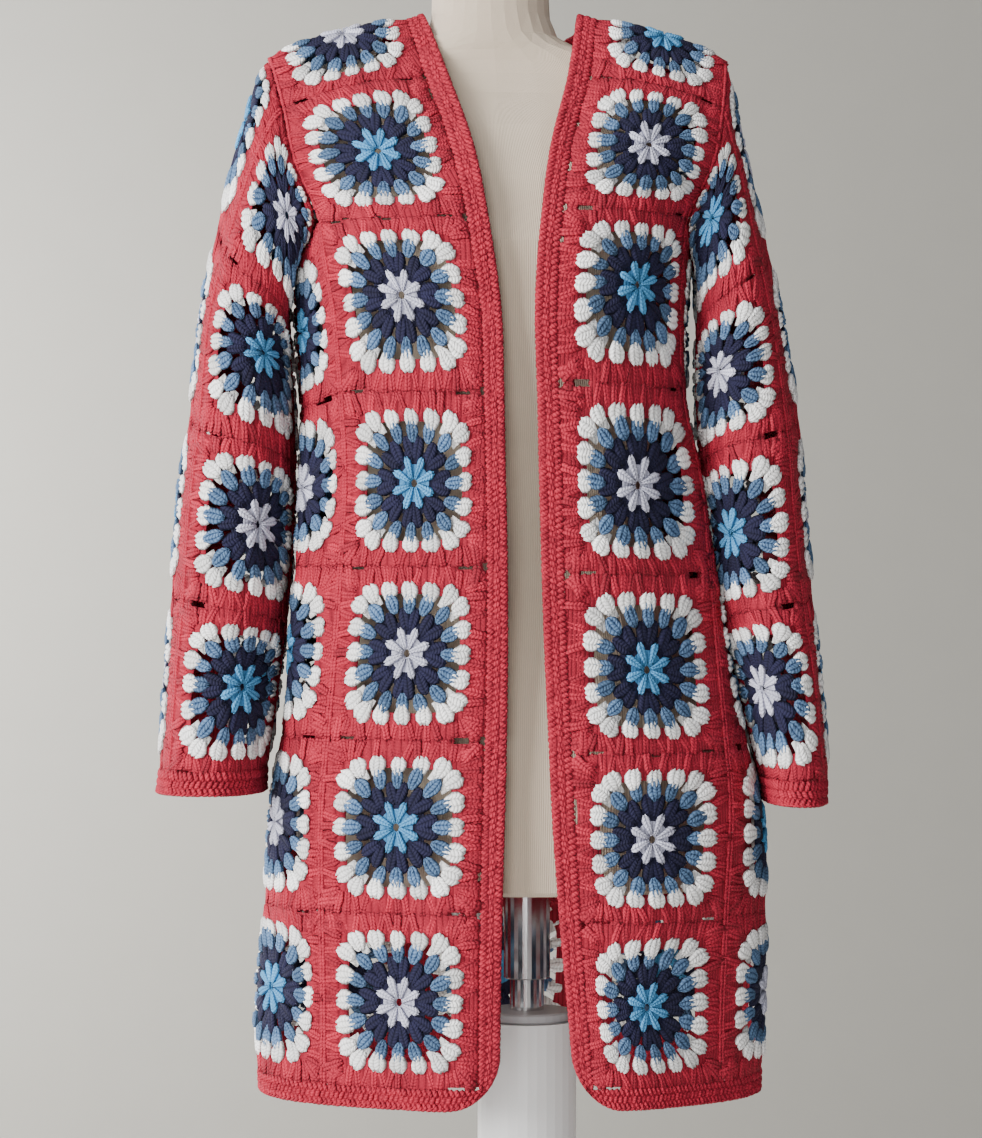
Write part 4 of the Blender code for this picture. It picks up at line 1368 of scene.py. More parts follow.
@dataclass(frozen=True)
class Ground:
    """The thin cloth under the stitches, open where the stitches leave gaps."""

    above: float = 0.0006
    below: float = -0.0012
    sectors: int = 48
    rounds: tuple[Round, ...] = (
        Round(0.0032, 2.0, None), Round(0.0150, 2.0, Yarn.NAVY),
        Round(0.0262, 2.2, Yarn.NAVY), Round(0.0360, 2.4, Yarn.BLUE),
        Round(0.0430, 3.0, Yarn.WHITE), Round(0.0480, 4.5, Yarn.RED),
        Round(0.0620, 40.0, Yarn.RED), Round(0.0675, 80.0, Yarn.RED),
        Round(0.0700, 200.0, None))
    spokes: tuple[tuple[int, tuple[int, ...]], ...] = (
        (2, (0, 1, 2, 4, 5, 6, 7, 8, 10, 11)), (3, (0, 3, 6, 9)), (4, (0, 3, 5, 7, 9)))
    slit_round: int = 7
    slit_sectors: tuple[int, ...] = (7, 17, 31, 41)
    slit_chance: float = 0.55
    stray_chance: float = 0.04
    strip_pitch: float = 0.012
    strip_rows: int = 3
    strip_start: float = 0.02
    strip_end: float = 0.96

    def bearing(self, sector: int) -> float:
        """Where a sector starts; its middle lies at a whole number of steps."""
        return 2.0 * math.pi * (sector - 0.5) / self.sectors

    def draw_slits(self, random: np.random.Generator) -> np.ndarray:
        """Draw where a square has slits between border and seam.

        Args:
            random: the draws of the piece's ground.

        Returns:
            For each sector, whether it has one.
        """
        chance = np.full(self.sectors, self.stray_chance)
        chance[self.sectors // 8::self.sectors // 4] = 0.0
        chance[list(self.slit_sectors)] = self.slit_chance
        return random.random(self.sectors) < chance

    def square(self, cloth: Cloth, lay: Lay, flower: Yarn, slits: np.ndarray) -> None:
        """Lay the ground of one square, its yarns changing with the rounds.

        Args:
            cloth: the piece that takes it.
            lay: turns flat places and heights into points of the coat.
            flower: the flower's yarn.
            slits: which sectors round the square have a slit.
        """
        angles = [self.bearing(sector) for sector in range(self.sectors)]
        flat = np.array([[rounded(angle, line.reach, line.power) for angle in angles]
                         for line in self.rounds])
        solid = np.ones((len(self.rounds) - 1, self.sectors), bool)
        place = np.arange(self.sectors) % (self.sectors // 4)
        for number, kept in self.spokes:
            solid[number] = np.isin(place, kept)
        solid[self.slit_round] = ~slits
        yarns = [flower] + [line.yarn for line in self.rounds[1:-1]]
        self.shell(cloth, lay, flat, solid, yarns, True)

    def strip(self, cloth: Cloth, lay: Lay, length: float, width: float) -> None:
        """Lay the ground of a stretch of edging.

        Args:
            cloth: the piece that takes it.
            lay: turns flat places and heights into points of the coat.
            length: flat length of the edging.
            width: flat width of the edging.
        """
        runs = np.linspace(0.0, length, int(length / self.strip_pitch) + 1)
        overs = np.linspace(self.strip_start * width, self.strip_end * width,
                            self.strip_rows + 1)
        flat = np.array([[(run, over) for run in runs] for over in overs])
        solid = np.ones((self.strip_rows, len(runs) - 1), bool)
        self.shell(cloth, lay, flat, solid, [Yarn.RED] * self.strip_rows, False)

    def shell(self, cloth: Cloth, lay: Lay, flat: np.ndarray, solid: np.ndarray,
              yarns: Sequence[Yarn], closed: bool) -> None:
        """A closed thin wall over the solid cells of a grid of flat points.

        Args:
            cloth: the piece that takes it.
            lay: turns flat places and heights into points of the coat.
            flat: the grid's flat places, rows of cells apart.
            solid: which cells are cloth.
            yarns: the yarn of each row of cells.
            closed: whether each row of cells meets its own start.
        """
        rows, around = flat.shape[:2]
        x, y = flat.reshape(-1, 2).T
        points = np.concatenate([lay(x, y, np.full(len(x), lift))
                                 for lift in (self.above, self.below)])
        layer = rows * around
        for row, yarn in enumerate(yarns):
            faces = []
            for cell in np.nonzero(solid[row])[0]:
                after = (cell + 1) % around
                before = (cell - 1) % around if closed else cell - 1
                near, far = (after, cell) if closed else (cell, after)
                ring = (row * around + near, row * around + far,
                        (row + 1) * around + far, (row + 1) * around + near)
                faces.append(ring)
                faces.append(tuple(corner + layer for corner in ring[::-1]))
                beside = ((row - 1, cell), (row, before if closed else after),
                          (row + 1, cell), (row, after if closed else before))
                for (start, end), (r, c) in zip(zip(ring, ring[1:] + ring[:1]), beside):
                    inside = 0 <= r < solid.shape[0] and 0 <= c < solid.shape[1]
                    if not (inside and solid[r, c]):
                        faces.append((end, start, start + layer, end + layer))
            if faces:
                cloth.take(faces, yarn)
        cloth.hold(points)


@dataclass(frozen=True)
class Cluster:
    """A kind of stitch with its real size on the flat cloth, in metres."""

    form: Stitch
    length: float
    width: float
    thickness: float
    lift: float = 0.0

    def at(self, x: float, y: float, turn: float, short: float = 0.0) -> Placing:
        """One whose middle is at x, y and whose head points along turn."""
        return Placing(x, y, turn - math.pi / 2.0, self.length - short, self.width,
                       self.thickness, self.lift)

    def on_side(self, side: int, x: float, y: float, turn: float,
                short: float = 0.0) -> Placing:
        """One given for the right side of a square, turned to one of its four sides.

        Args:
            side: number of quarter turns.
            x: place out from the square's centre.
            y: place along the side.
            turn: where its head points, from straight outward.
            short: how much shorter it is than the others.

        Returns:
            Its placing.
        """
        base = math.pi / 2.0 * side
        return self.at(x * math.cos(base) - y * math.sin(base),
                       x * math.sin(base) + y * math.cos(base), base + turn, short)


# The forms that the square's stitches take: strands, outline, groove, wobble and tooth.
PETAL = Stitch(2, ((0.0, 0.36, 0.6), (0.30, 0.62, 0.9), (0.62, 0.92, 1.0),
                   (0.84, 1.0, 1.0), (1.0, 0.50, 0.6)), 0.65, 0.06, 0.10)
PUFF = Stitch(2, ((0.0, 0.50, 0.6), (0.30, 0.94, 0.9), (0.60, 1.0, 1.0),
                  (0.84, 0.84, 0.9), (1.0, 0.36, 0.5)), 0.55, 0.10, 0.06)
ALMOND = Stitch(3, ((0.0, 0.28, 0.5), (0.20, 0.78, 0.9), (0.45, 1.0, 1.0),
                    (0.70, 0.94, 1.0), (0.90, 0.60, 0.8), (1.0, 0.24, 0.5)),
                0.65, 0.20, 0.05)
SHELL = Stitch(3, ((0.0, 0.44, 0.6), (0.20, 0.70, 0.95), (0.50, 1.0, 1.0),
                   (0.80, 0.98, 1.0), (1.0, 0.66, 0.6)), 0.45, 0.14, 0.13)
POST = Stitch(2, ((0.0, 0.56, 0.6), (0.36, 1.0, 1.0), (0.64, 0.82, 0.80),
                  (1.0, 1.0, 0.7)), 0.36, 0.14, 0.08)


@dataclass(frozen=True)
class GrannySquare:
    """The worked square: flower, navy hearts, blue and white clusters, red border.

    All sizes are on the flat square, from its centre, in metres and radians.
    """

    border: float = SQUARE / 2.0
    petal: Cluster = Cluster(PETAL, 0.0180, 0.0080, 0.0056, 0.0014)
    petal_count: int = 8
    petal_reach: float = 0.0126
    heart: Cluster = Cluster(PUFF, 0.0192, 0.0118, 0.0050, 0.0004)
    heart_pairs: int = 8
    heart_reach: float = 0.0278
    heart_squareness: float = 2.3
    heart_spread: float = math.radians(9.2)
    heart_lean: float = math.radians(7.0)
    almond: Cluster = Cluster(ALMOND, 0.0180, 0.0128, 0.0056, 0.0016)
    almond_count: int = 16
    almond_reach: float = 0.0408
    almond_squareness: float = 2.7
    shell: Cluster = Cluster(SHELL, 0.0154, 0.0166, 0.0062, 0.0010)
    shell_reach: float = 0.0488
    shell_pitch: float = 0.0200
    shell_lean: float = math.radians(4.0)
    corner_shell: Cluster = Cluster(SHELL, 0.0154, 0.0158, 0.0062, 0.0010)
    corner_reach: float = 0.0425
    corner_spread: float = 0.0047
    corner_lean: float = math.radians(16.0)
    post: Cluster = Cluster(POST, 0.0182, 0.0084, 0.0038)
    post_reach: float = 0.0613
    post_pitch: float = 0.0074
    post_lean: float = math.radians(16.0)
    group_pitch: float = 0.0232
    group_lean: float = math.radians(2.0)
    corner_post: Cluster = Cluster(POST, 0.0200, 0.0090, 0.0040)
    corner_post_reach: float = 0.0606
    corner_post_lean: float = 0.6
    slit_reach: float = 0.0680
    slit_depth: float = 0.0036
    rope_links: int = 22
    rope_radius: float = 0.0014
    rope_knots: float = 0.5
    rope_lift: float = 0.0004

    def flower(self) -> list[Placing]:
        """Petals round the centre hole.

        Returns:
            Where they lie.
        """
        angles = [2.0 * math.pi * (number + 0.5) / self.petal_count
                  for number in range(self.petal_count)]
        return [self.petal.at(*rounded(angle, self.petal_reach, 2.0), angle)
                for angle in angles]

    def hearts(self) -> list[Placing]:
        """Navy clusters of the second round.

        Returns:
            Where they lie, in heart-shaped pairs.
        """
        places = []
        for pair, lean in itertools.product(range(self.heart_pairs), (-1.0, 1.0)):
            angle = 2.0 * math.pi * pair / self.heart_pairs + lean * self.heart_spread
            x, y = rounded(angle, self.heart_reach, self.heart_squareness)
            places.append(self.heart.at(x, y, angle + lean * self.heart_lean))
        return places

    def almonds(self) -> list[Placing]:
        """Mid-blue clusters of the third round.

        Returns:
            Where they lie, in the hearts' notches and gaps.
        """
        places = []
        for number in range(self.almond_count):
            angle = 2.0 * math.pi * number / self.almond_count
            x, y = rounded(angle, self.almond_reach, self.almond_squareness)
            places.append(self.almond.at(x, y, angle))
        return places

    def shells(self) -> list[Placing]:
        """White clusters of the fourth round.

        Returns:
            Where they lie, three to a side and a pair to a corner.
        """
        places = []
        for side in range(4):
            for offset in (-1.0, 0.0, 1.0):
                places.append(self.shell.on_side(side, self.shell_reach,
                                                 self.shell_pitch * offset,
                                                 self.shell_lean * offset))
            for lean in (-1.0, 1.0):
                spread = self.corner_spread * lean
                places.append(self.corner_shell.on_side(
                    side, self.corner_reach - spread, self.corner_reach + spread,
                    math.pi / 4.0 + self.corner_lean * lean))
        return places

    def posts(self, slits: np.ndarray) -> list[Placing]:
        """Red posts of the border, in threes, shorter where the border has a slit.

        Args:
            slits: which sectors round the square have a slit.

        Returns:
            Five groups on each side and three posts in each corner.
        """
        places = []
        for side in range(4):
            for group, lean in itertools.product((-2, -1, 0, 1, 2), (-1, 0, 1)):
                y = self.group_pitch * group + self.post_pitch * lean
                angle = math.atan2(y, self.slit_reach) + math.pi / 2.0 * side
                sector = round(angle / (2.0 * math.pi) * len(slits)) % len(slits)
                short = self.slit_depth if slits[sector] else 0.0
                places.append(self.post.on_side(
                    side, self.post_reach - short / 2.0, y,
                    self.group_lean * group + self.post_lean * lean, short))
            for lean in (-1.0, 0.0, 1.0):
                places.append(self.corner_post.on_side(
                    side, self.corner_post_reach, self.corner_post_reach,
                    math.pi / 4.0 + self.corner_post_lean * lean))
        return places

    def work(self, cloth: Cloth, lay: Lay, flower: Yarn, slits: np.ndarray,
             ropes: Sequence[float]) -> None:
        """Work one square's stitches into a piece.

        Args:
            cloth: the piece that takes the stitches.
            lay: turns flat places and heights into points of the coat.
            flower: the flower's yarn.
            slits: which sectors round the square have a slit.
            ropes: signs of the sides that have a raised chain.
        """
        for cluster, places, yarn, jitter in (
                (self.petal, self.flower(), flower, 1.0),
                (self.heart, self.hearts(), Yarn.NAVY, 1.0),
                (self.almond, self.almonds(), Yarn.BLUE, 1.6),
                (self.shell, self.shells(), Yarn.WHITE, 1.5),
                (self.post, self.posts(slits), Yarn.RED, 1.5)):
            cloth.add(cluster.form, places, yarn, lay, jitter)
        for sign in ropes:
            self.rope(cloth, lay, sign)

    def laying(self, patch: Patch, row: float, twist: float,
               shift: tuple[float, float], squeeze: float) -> Lay:
        """How one square's flat places come to lie on the coat.

        Args:
            patch: the stretch of cloth that the square is part of.
            row: row line at the square's foot.
            twist: how far its middle is turned.
            shift: how far its middle is moved, while its border stays with the seams.
            squeeze: how much narrower its middle is than high.

        Returns:
            A function from flat places and heights to points.
        """
        def lay(x: np.ndarray, y: np.ndarray, lift: np.ndarray) -> np.ndarray:
            """Points of the coat for flat places and heights.

            Args:
                x: places across, from the square's centre.
                y: places up from it.
                lift: distances out of the cloth's middle surface.

            Returns:
                The points.
            """
            hold = ((1.0 - np.minimum(np.abs(x) / self.border, 1.0) ** 2)
                    * (1.0 - np.minimum(np.abs(y) / self.border, 1.0) ** 2))
            turn = twist * hold
            x = x * (1.0 - squeeze * (1.0 - (x / self.border) ** 2))
            moved_x = x * np.cos(turn) - y * np.sin(turn) + shift[0] * hold
            moved_y = x * np.sin(turn) + y * np.cos(turn) + shift[1] * hold
            return patch.lay(0.5 + moved_x / SQUARE, row + 0.5 + moved_y / SQUARE, lift)
        return lay

    def rope(self, cloth: Cloth, lay: Lay, sign: float) -> None:
        """The raised red chain at one side of the square, a little knotted.

        Args:
            cloth: the piece that takes it.
            lay: turns flat places and heights into points of the coat.
            sign: which side, -1 or 1.
        """
        y = np.linspace(-1.0, 1.0, self.rope_links) * self.border
        x = np.full(self.rope_links, sign * (self.border - self.rope_radius))
        middle = lay(x, y, np.full(len(y), self.rope_lift))
        above = lay(x, y, np.full(len(y), self.rope_lift + PROBE))
        knots = self.rope_radius * (1.0 + self.rope_knots * (np.arange(len(y)) % 2))
        cloth.add_cord(middle, (above - middle) / PROBE, knots, Yarn.RED)


@dataclass(frozen=True)
class Edging:
    """Plain edging: rows of short posts over the edge, and a chain along it."""

    post: Stitch = Stitch(1, ((0.0, 0.62, 0.6), (0.30, 0.90, 1.0), (0.70, 1.0, 1.0),
                              (1.0, 0.62, 0.6)), 0.0, 0.06)
    chain: Stitch = Stitch(1, ((0.0, 0.40, 0.5), (0.35, 1.0, 1.0), (0.75, 0.90, 0.9),
                               (1.0, 0.30, 0.5)), 0.0)
    pitch: float = 0.0047
    rows: int = 3
    post_thickness: float = 0.0044
    post_middle: float = 0.47
    post_lean: float = 0.45
    post_share: tuple[float, float] = (1.16, 1.20)
    chain_inset: float = 0.0012
    chain_lean: float = 0.42
    chain_share: float = 1.45
    chain_size: tuple[float, float, float] = (0.0034, 0.0040, 0.0004)

    def work(self, cloth: Cloth, lay: Lay, length: float, width: float) -> None:
        """Work the posts and chains of a stretch of edging.

        Args:
            cloth: the piece that takes the stitches.
            lay: turns flat places and heights into points of the coat.
            length: flat length of the edging.
            width: flat width of the edging.
        """
        count = int(round(length / self.pitch))
        tall = width / self.rows
        wide_share, tall_share = self.post_share
        posts, links = [], []
        for number in range(count):
            for row in range(self.rows):
                odd = row % 2
                x = length * (number + 0.5 + 0.5 * odd * (number < count - 1)) / count
                posts.append(Placing(x, tall * (row + self.post_middle),
                                     self.post_lean * (1 - 2 * odd), tall * tall_share,
                                     self.pitch * wide_share, self.post_thickness))
            x = length * (number + 0.5) / count
            links.append(Placing(x, width - self.chain_inset,
                                 self.chain_lean - math.pi / 2.0,
                                 self.pitch * self.chain_share, *self.chain_size))
        cloth.add(self.post, posts, Yarn.RED, lay)
        cloth.add(self.chain, links, Yarn.RED, lay)


# ------------------------------------------------------------------ the dressed coat

# How far a flower is off the middle of its square, by piece and row, in metres across
# and up the flat cloth.
NUDGES = {
    ("front_left", 0): (0.0, 0.0), ("front_left", 1): (0.003, -0.001),
    ("front_left", 2): (-0.001, -0.001), ("front_left", 3): (-0.003, -0.002),
    ("front_left", 4): (-0.003, 0.007), ("front_left", 5): (-0.009, -0.007),
    ("shoulder_left", 6): (-0.008, -0.010), ("front_right", 0): (-0.014, 0.0),
    ("front_right", 1): (-0.006, 0.0), ("front_right", 2): (-0.005, 0.0),
    ("front_right", 3): (-0.007, -0.002), ("front_right", 4): (0.002, 0.002),
    ("shoulder_right", 6): (0.0, -0.012),
    ("side_left", 0): (-0.015, 0.004), ("side_left", 1): (-0.012, 0.0),
    ("side_left", 2): (-0.008, 0.002), ("side_left", 3): (-0.016, -0.002),
    ("side_left", 4): (-0.014, -0.002),
    ("sleeve_left_front", 0): (0.006, -0.006), ("sleeve_left_front", 1): (0.007, -0.012),
    ("sleeve_left_front", 2): (0.005, -0.004), ("sleeve_left_front", 3): (0.005, 0.002),
    ("sleeve_right_front", 0): (0.009, -0.014), ("sleeve_right_front", 1): (0.009, 0.003),
    ("sleeve_right_front", 2): (0.005, 0.002), ("sleeve_right_front", 3): (0.012, 0.0),
}
# Starts of the random draws, by the first words of a piece's name.
SEEDS = {"front": 10, "shoulder": 20, "side": 30, "back": 40, "back_centre": 50,
         "sleeve_left": 60, "sleeve_right": 70, "front_band": 80, "hem_band": 84,
         "neck_band": 85, "cuff": 90}
# How much narrower than high the middle of a square is, by the first word of a name.
SQUEEZES = {"sleeve": 0.12, "front": 0.07}
# Row lines of the right front, and how far the real seams lie above them, in squares.
RIGHT_DRIFT = ((0.0, 0.0), (0.5, -0.03), (1.5, -0.075), (2.5, -0.085), (3.5, -0.01),
               (4.5, 0.11), (5.5, 0.01), (6.0, 0.0))


def spin_yarns() -> list[bpy.types.Material]:
    """A material for each yarn, in order."""
    return [YARNS[yarn].build() for yarn in Yarn]


@dataclass(frozen=True)
class Coat:
    """All pieces of the coat, worked stitch by stitch on the coat's surfaces.

    The offset is where the shape's origin stands in the frame.
    """

    offset: np.ndarray
    shape: CoatShape = field(default_factory=CoatShape)
    ground: Ground = Ground()
    square: GrannySquare = GrannySquare()
    edging: Edging = Edging()
    materials: list[bpy.types.Material] = field(default_factory=spin_yarns)
    cells: int = 14
    twist: float = 0.05
    stray: float = 0.0008
    squeeze: float = 0.04
    ground_seed: int = 100
    edging_cell: float = 0.005
    edging_cells: int = 4
    cuff_share: float = 0.55
    side_drift: float = 0.7

    @staticmethod
    def drifted(surface: Surface, share: float) -> Surface:
        """The surface with its row lines where the right front's seams really lie.

        Args:
            surface: a surface with evenly spaced row lines.
            share: how much of the front's drift it has.

        Returns:
            The drifted surface.
        """
        lines, drifts = zip(*RIGHT_DRIFT)

        def moved(across: float, row: float) -> np.ndarray:
            """Point of the drifted surface."""
            return surface(across, row + share * float(np.interp(row, lines, drifts)))
        return moved

    def finish(self, ground: Cloth, stitches: Cloth, node: str,
               flat: tuple[float, float], slot: str) -> None:
        """Args:
            ground: the thin cloth.
            stitches: what is worked on it.
            node: the frame's node that they stand for.
            flat: the cloth's flat size; not used.
            slot: the material slot; not used.
        """
        raised = stitches.build(node + "_stitches", self.materials)
        cloth = ground.build(node + "_cloth", self.materials)
        for piece in (cloth, raised):
            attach(piece, "root")
        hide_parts(node)
        LOG.info("%s: %d and %d faces", node, len(cloth.data.polygons),
                 len(raised.data.polygons))

    def column(self, node: str, surface: Surface, first: int, last: int, outward: float,
               parity: int, seed: int) -> None:
        """Work one column of squares.

        Args:
            node: the frame's node that it stands for.
            surface: the cloth it lies on.
            first: row line where it starts.
            last: row line where it ends.
            outward: sign that turns the surface's normals out of the coat.
            parity: 0 where the lowest square's flower is sky blue, 1 where lilac.
            seed: start of its random draws.
        """
        patch = Patch(surface, np.linspace(0.0, 1.0, self.cells + 1),
                      np.linspace(first, last, (last - first) * self.cells + 1), outward,
                      self.offset)
        ground = Cloth(seed + self.ground_seed, outward)
        stitches = Cloth(seed, outward)
        ropes = (1.0,) if node.startswith(("front", "shoulder")) else (-1.0, 1.0)
        for row in range(first, last):
            flower = Yarn.LILAC if (row + parity) % 2 else Yarn.SKY
            nudge = NUDGES.get((node, row), (0.0, 0.0))
            slits = self.ground.draw_slits(ground.random)
            draw = ground.random.normal(0.0, 1.0, 3).clip(-2.0, 2.0)
            shift = (nudge[0] + self.stray * draw[1], nudge[1] + self.stray * draw[2])
            squeeze = SQUEEZES.get(node.split("_")[0], self.squeeze)
            lay = self.square.laying(patch, row, self.twist * draw[0], shift, squeeze)
            self.ground.square(ground, lay, flower, slits)
            self.square.work(stitches, lay, flower, slits, ropes)
        self.finish(ground, stitches, node, (SQUARE, SQUARE * (last - first)),
                    "square_yarn")

    def work_body(self) -> None:
        """Fronts, shoulders, sides and back."""
        shape = self.shape
        for number, (side, outward) in enumerate((("left", -1.0), ("right", 1.0))):
            parity = 1 - number
            front = shape.front(side)
            under_arm = shape.side(1 if side == "left" else BODY_COLUMNS - 2)
            back = shape.back(side)
            self.column("shoulder_" + side, front, TOP_ROW, TOP_ROW + 1, outward, parity,
                        SEEDS["shoulder"] + number)
            if side == "right":
                front = self.drifted(front, 1.0)
                under_arm = self.drifted(under_arm, self.side_drift)
            self.column("front_" + side, front, 0, TOP_ROW, outward, parity,
                        SEEDS["front"] + number)
            self.column("side_" + side, under_arm, 0, BODY_ROWS, -1.0, 1 - parity,
                        SEEDS["side"] + number)
            self.column("back_" + side, back, 0, TOP_ROW, -outward, parity,
                        SEEDS["back"] + number)
        self.column("back_centre", shape.back_centre, 0, TOP_ROW, -1.0, 0,
                    SEEDS["back_centre"])

    def work_sleeves(self) -> None:
        """Three columns round each arm."""
        for number, (side, outward) in enumerate((("left", 1.0), ("right", -1.0))):
            for column, name in enumerate(("front", "outer", "back")):
                sleeve = "sleeve_" + side
                self.column(sleeve + "_" + name, self.shape.sleeve(side, column), 0,
                            SLEEVE_ROWS, outward, 1 + column + number,
                            SEEDS[sleeve] + column)

    def work_edgings(self) -> None:
        """Front bands, neckband, hem and cuffs."""
        shape = self.shape
        last = BODY_ROWS + STRIP_RIDGE
        for number, (side, outward) in enumerate((("left", -1.0), ("right", 1.0))):
            band = shape.front_band(side)

            def front(along_band: float, over: float, band: Surface = band) -> np.ndarray:
                """Point of the front band, over it to the free edge."""
                return band(1.0 - over, along_band * last)

            self.work_edging("front_band_" + side, front, last * SQUARE, FRONT_BAND,
                             -outward, SEEDS["front_band"] + number)
            width = (RINGS[side][-1].step - SLEEVE_ROWS) * SQUARE * self.cuff_share
            self.work_edging("cuff_" + side, self.cuff_surface(side),
                             SLEEVE_COLUMNS * SQUARE, width, -outward,
                             SEEDS["cuff"] + number)
        self.work_edging("hem_band", lambda turn, over: shape.hem_band(turn, 1.0 - over),
                         ROUND, HEM_BAND, 1.0, SEEDS["hem_band"])
        self.work_edging("neck_band", shape.neck_band, 2.0 * SQUARE, NECK_BAND, -1.0,
                         SEEDS["neck_band"])

    def cuff_surface(self, side: str) -> Surface:
        """Surface of a cuff.

        Args:
            side: left or right.

        Returns:
            The surface, round the wrist and down to its free edge.
        """
        last = RINGS[side][-1].step

        def surface(turn: float, part: float) -> np.ndarray:
            """Point of the cuff."""
            return self.shape.sleeve_point(side, turn,
                                           SLEEVE_ROWS + part * (last - SLEEVE_ROWS))
        return surface

    def work_edging(self, node: str, surface: Surface, length: float, width: float,
                    outward: float, seed: int) -> None:
        """Work one edging.

        Args:
            node: the frame's node that it stands for.
            surface: the cloth, along the edging and over it to the free edge.
            length: its flat length.
            width: its flat width.
            outward: sign that turns the surface's normals out of the coat.
            seed: start of its random draws.
        """
        count = int(round(length / self.edging_cell))
        patch = Patch(surface, np.linspace(0.0, 1.0, count + 1),
                      np.linspace(0.0, 1.0, self.edging_cells + 1), outward, self.offset)

        def lay(x: np.ndarray, y: np.ndarray, lift: np.ndarray) -> np.ndarray:
            """Points of the coat for flat places and heights."""
            return patch.lay(x / length, y / width, lift)

        ground = Cloth(seed + self.ground_seed, outward)
        stitches = Cloth(seed, outward)
        self.ground.strip(ground, lay, length, width)
        self.edging.work(stitches, lay, length, width)
        self.finish(ground, stitches, node, (length, width), "red_yarn")

    def work(self) -> None:
        """Work the whole coat."""
        self.work_body()
        self.work_sleeves()
        self.work_edgings()


# ------------------------------------------------------------------ form and stand

@dataclass(frozen=True)
class Jersey:
    """The form's cover: fine upright ribs in cream jersey."""

    colour: Colour = (0.68, 0.57, 0.44)
    shadow: Colour = (0.42, 0.33, 0.24)
    ribs_round: float = 440.0
    rib_shade: float = 0.55
    weave_scale: float = 900.0
    weave_shade: float = 0.2
    relief: float = 0.0007

    def build(self) -> bpy.types.Material:
        """Make the jersey's material, its ribs counted round the form's axis.

        Returns:
            The material.
        """
        graph = Graph(bpy.data.materials.new("form_jersey"))
        place = graph.node("ShaderNodeTexCoord", {}, {}, "Object")
        split = graph.node("ShaderNodeSeparateXYZ", {}, {0: place})
        depth = Wire(graph, split.socket.node.outputs[1])
        bearing = split.maths("ARCTAN2", split, depth)
        ribs = (bearing * (self.ribs_round / (2.0 * math.pi))).triangle()
        weave = graph.noise(self.weave_scale, 2.0)
        shade = ribs * self.rib_shade + weave * self.weave_shade
        colour = graph.mix(shade, rgba(self.colour), rgba(self.shadow))
        graph.feed(graph.shader, {
            "Base Color": colour, "Roughness": 0.85, "Sheen Weight": 0.2,
            "Normal": graph.bump(weave * 0.4 - ribs, 0.5, self.relief)})
        return graph.material


@dataclass(frozen=True)
class Hard:
    """A hard finish: metal, paint or plastic, a little uneven."""

    name: str
    colour: Colour
    roughness: float
    metallic: float
    mottle: float = 0.08
    mottle_scale: float = 14.0
    mottle_shade: float = 0.55
    wear: float = 0.08
    grain_scale: float = 700.0
    relief: float = 0.0003

    def build(self) -> bpy.types.Material:
        """Make the finish's material.

        Returns:
            The material.
        """
        graph = Graph(bpy.data.materials.new(self.name))
        clouds = graph.noise(self.mottle_scale, 3.0)
        grain = graph.noise(self.grain_scale, 2.0)
        colour = graph.mix(clouds * self.mottle, rgba(self.colour),
                           rgba(self.colour, self.mottle_shade))
        graph.feed(graph.shader, {
            "Base Color": colour, "Metallic": self.metallic,
            "Roughness": clouds * self.wear + (self.roughness - 0.5 * self.wear),
            "Normal": graph.bump(grain, 0.05, self.relief)})
        return graph.material


@dataclass(frozen=True)
class Form:
    """The dress form and its stand, which keep the frame's shapes: a finish for each."""

    neck_cap: Hard = Hard("cap_paint", (0.80, 0.79, 0.76), 0.40, 0.0)
    stand_tube: Hard = Hard("tube_chrome", (0.72, 0.72, 0.73), 0.14, 1.0)
    stand_pole: Hard = Hard("pole_chrome", (0.72, 0.72, 0.73), 0.14, 1.0)
    column_rim: Hard = Hard("rim_plastic", (0.42, 0.42, 0.43), 0.45, 0.0)
    column: Hard = Hard("column_paint", (0.78, 0.78, 0.77), 0.35, 0.0)
    base: Hard = Hard("base_paint", (0.78, 0.78, 0.77), 0.35, 0.0)
    dress_form: Jersey = Jersey()

    def dress(self, nodes: dict[str, bpy.types.Object]) -> None:
        """Give each piece its finish.

        Args:
            nodes: the frame's nodes by name.
        """
        for piece in fields(self):
            material = getattr(self, piece.name).build()
            for slot in nodes[piece.name].material_slots:
                slot.material = material
            LOG.info("%s: %s", piece.name, material.name)


# ------------------------------------------------------------------ studio

class Lamp(NamedTuple):
    """One soft square light: where it stands, what it is aimed at, size and power."""

    name: str
    place: tuple[float, float, float]
    aim: tuple[float, float, float]
    size: float
    power: float


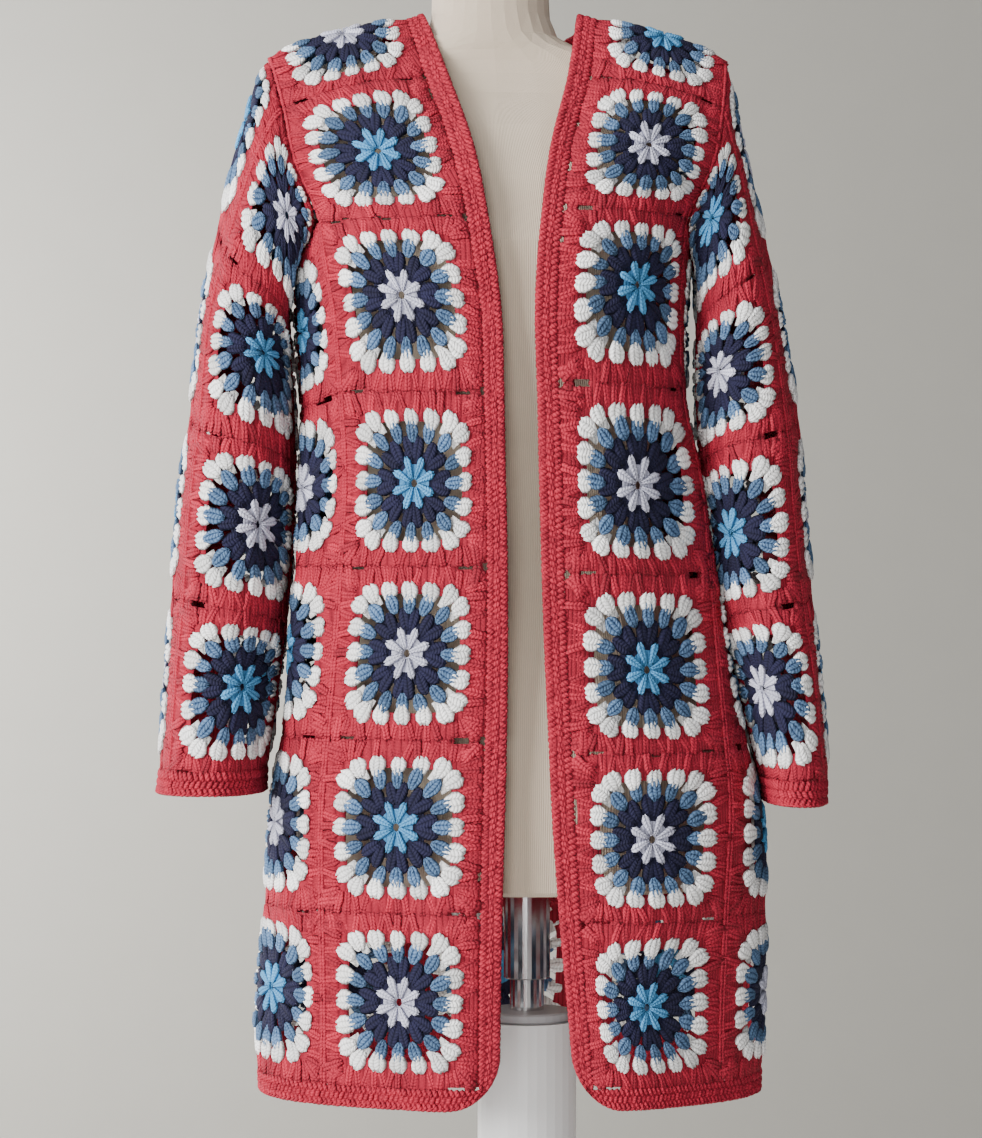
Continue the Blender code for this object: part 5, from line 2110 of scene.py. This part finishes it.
@dataclass(frozen=True)
class Studio:
    """Floor, backdrop, soft light and the camera at the photo's angle."""

    room: float = 14.0
    wall_depth: float = 2.4
    coat_middle: tuple[float, float, float] = (0.0, 0.0, 0.95)
    sky: tuple[float, float, float, float] = (0.85, 0.88, 0.92, 1.0)
    sky_strength: float = 0.34
    sensor: float = 36.0
    image_width: int = 982
    image_height: int = 1138
    focal_pixels: float = 3225.0
    distance: float = 2.72
    eye_height: float = HEM_HEIGHT + 0.4136
    horizon_pixel: float = 595.0
    wall: Colour = (0.210, 0.202, 0.180)
    floor: Colour = (0.62, 0.60, 0.57)

    def build(self) -> None:
        """Make everything round the object."""
        self.make_room()
        self.make_lights()
        self.make_camera()

    def make_room(self) -> None:
        """A pale floor and a plain wall, which is seen from its front only."""
        bpy.ops.mesh.primitive_plane_add(size=self.room, location=(0.0, 0.0, 0.0))
        floor = bpy.context.object
        floor.name = "floor"
        floor.data.materials.append(Hard("floor_paint", self.floor, 0.7, 0.0).build())
        bpy.ops.mesh.primitive_plane_add(
            size=self.room, location=(0.0, self.wall_depth, self.room / 2.0),
            rotation=(math.pi / 2.0, 0.0, 0.0))
        wall = bpy.context.object
        wall.name = "wall"
        paint = Hard("wall_paint", self.wall, 0.9, 0.0).build()
        wall.data.materials.append(paint)
        graph = Graph(paint)
        behind = graph.node("ShaderNodeNewGeometry", {}, {}, "Backfacing")
        graph.feed(graph.shader, {"Alpha": 1.0 - behind})

    def make_lights(self) -> None:
        """A large window light from the left and weaker ones to fill."""
        middle = self.coat_middle
        for lamp in (Lamp("window", (-3.2, -2.4, 1.8), middle, 2.2, 340.0),
                     Lamp("fill", (-0.8, -4.4, 1.1), middle, 1.6, 80.0),
                     Lamp("top", (-0.7, -0.6, 3.6), middle, 2.6, 34.0),
                     Lamp("wall_wash", (-1.9, 1.3, 1.2), (-0.6, self.wall_depth, 0.9), 1.0,
                          180.0)):
            light = bpy.data.lights.new(lamp.name, "AREA")
            light.size = lamp.size
            light.energy = lamp.power
            holder = bpy.data.objects.new(lamp.name, light)
            holder.location = lamp.place
            ahead = Vector(lamp.aim) - Vector(lamp.place)
            holder.rotation_euler = ahead.to_track_quat("-Z", "Y").to_euler()
            bpy.context.collection.objects.link(holder)
        world = bpy.data.worlds.new("studio")
        world.use_nodes = True
        shade = world.node_tree.nodes["Background"]
        shade.inputs["Color"].default_value = self.sky
        shade.inputs["Strength"].default_value = self.sky_strength
        bpy.context.scene.world = world

    def make_camera(self) -> None:
        """The camera, level with the coat's middle and tipped up a little."""
        camera = bpy.data.cameras.new("camera")
        camera.sensor_fit = "HORIZONTAL"
        camera.sensor_width = self.sensor
        camera.lens = self.sensor * self.focal_pixels / self.image_width
        holder = bpy.data.objects.new("camera", camera)
        tip = math.atan((self.horizon_pixel - self.image_height / 2.0) / self.focal_pixels)
        holder.location = (0.0, -self.distance, self.eye_height)
        holder.rotation_euler = (math.pi / 2.0 + tip, 0.0, 0.0)
        bpy.context.collection.objects.link(holder)
        bpy.context.scene.camera = holder


def main() -> None:
    """Build the looks of the coat, its form and stand, and the studio."""
    logging.basicConfig(level=logging.INFO, format="%(message)s")
    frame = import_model()
    bpy.ops.object.select_all(action="DESELECT")
    Studio().build()
    low, high = (np.array(corner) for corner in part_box("base"))
    stand = (low + high) / 2.0
    Coat(np.array([stand[0] - STAND_X, stand[1], 0.0])).work()
    Form().dress(frame["nodes"])


if __name__ == "__main__":
    main()
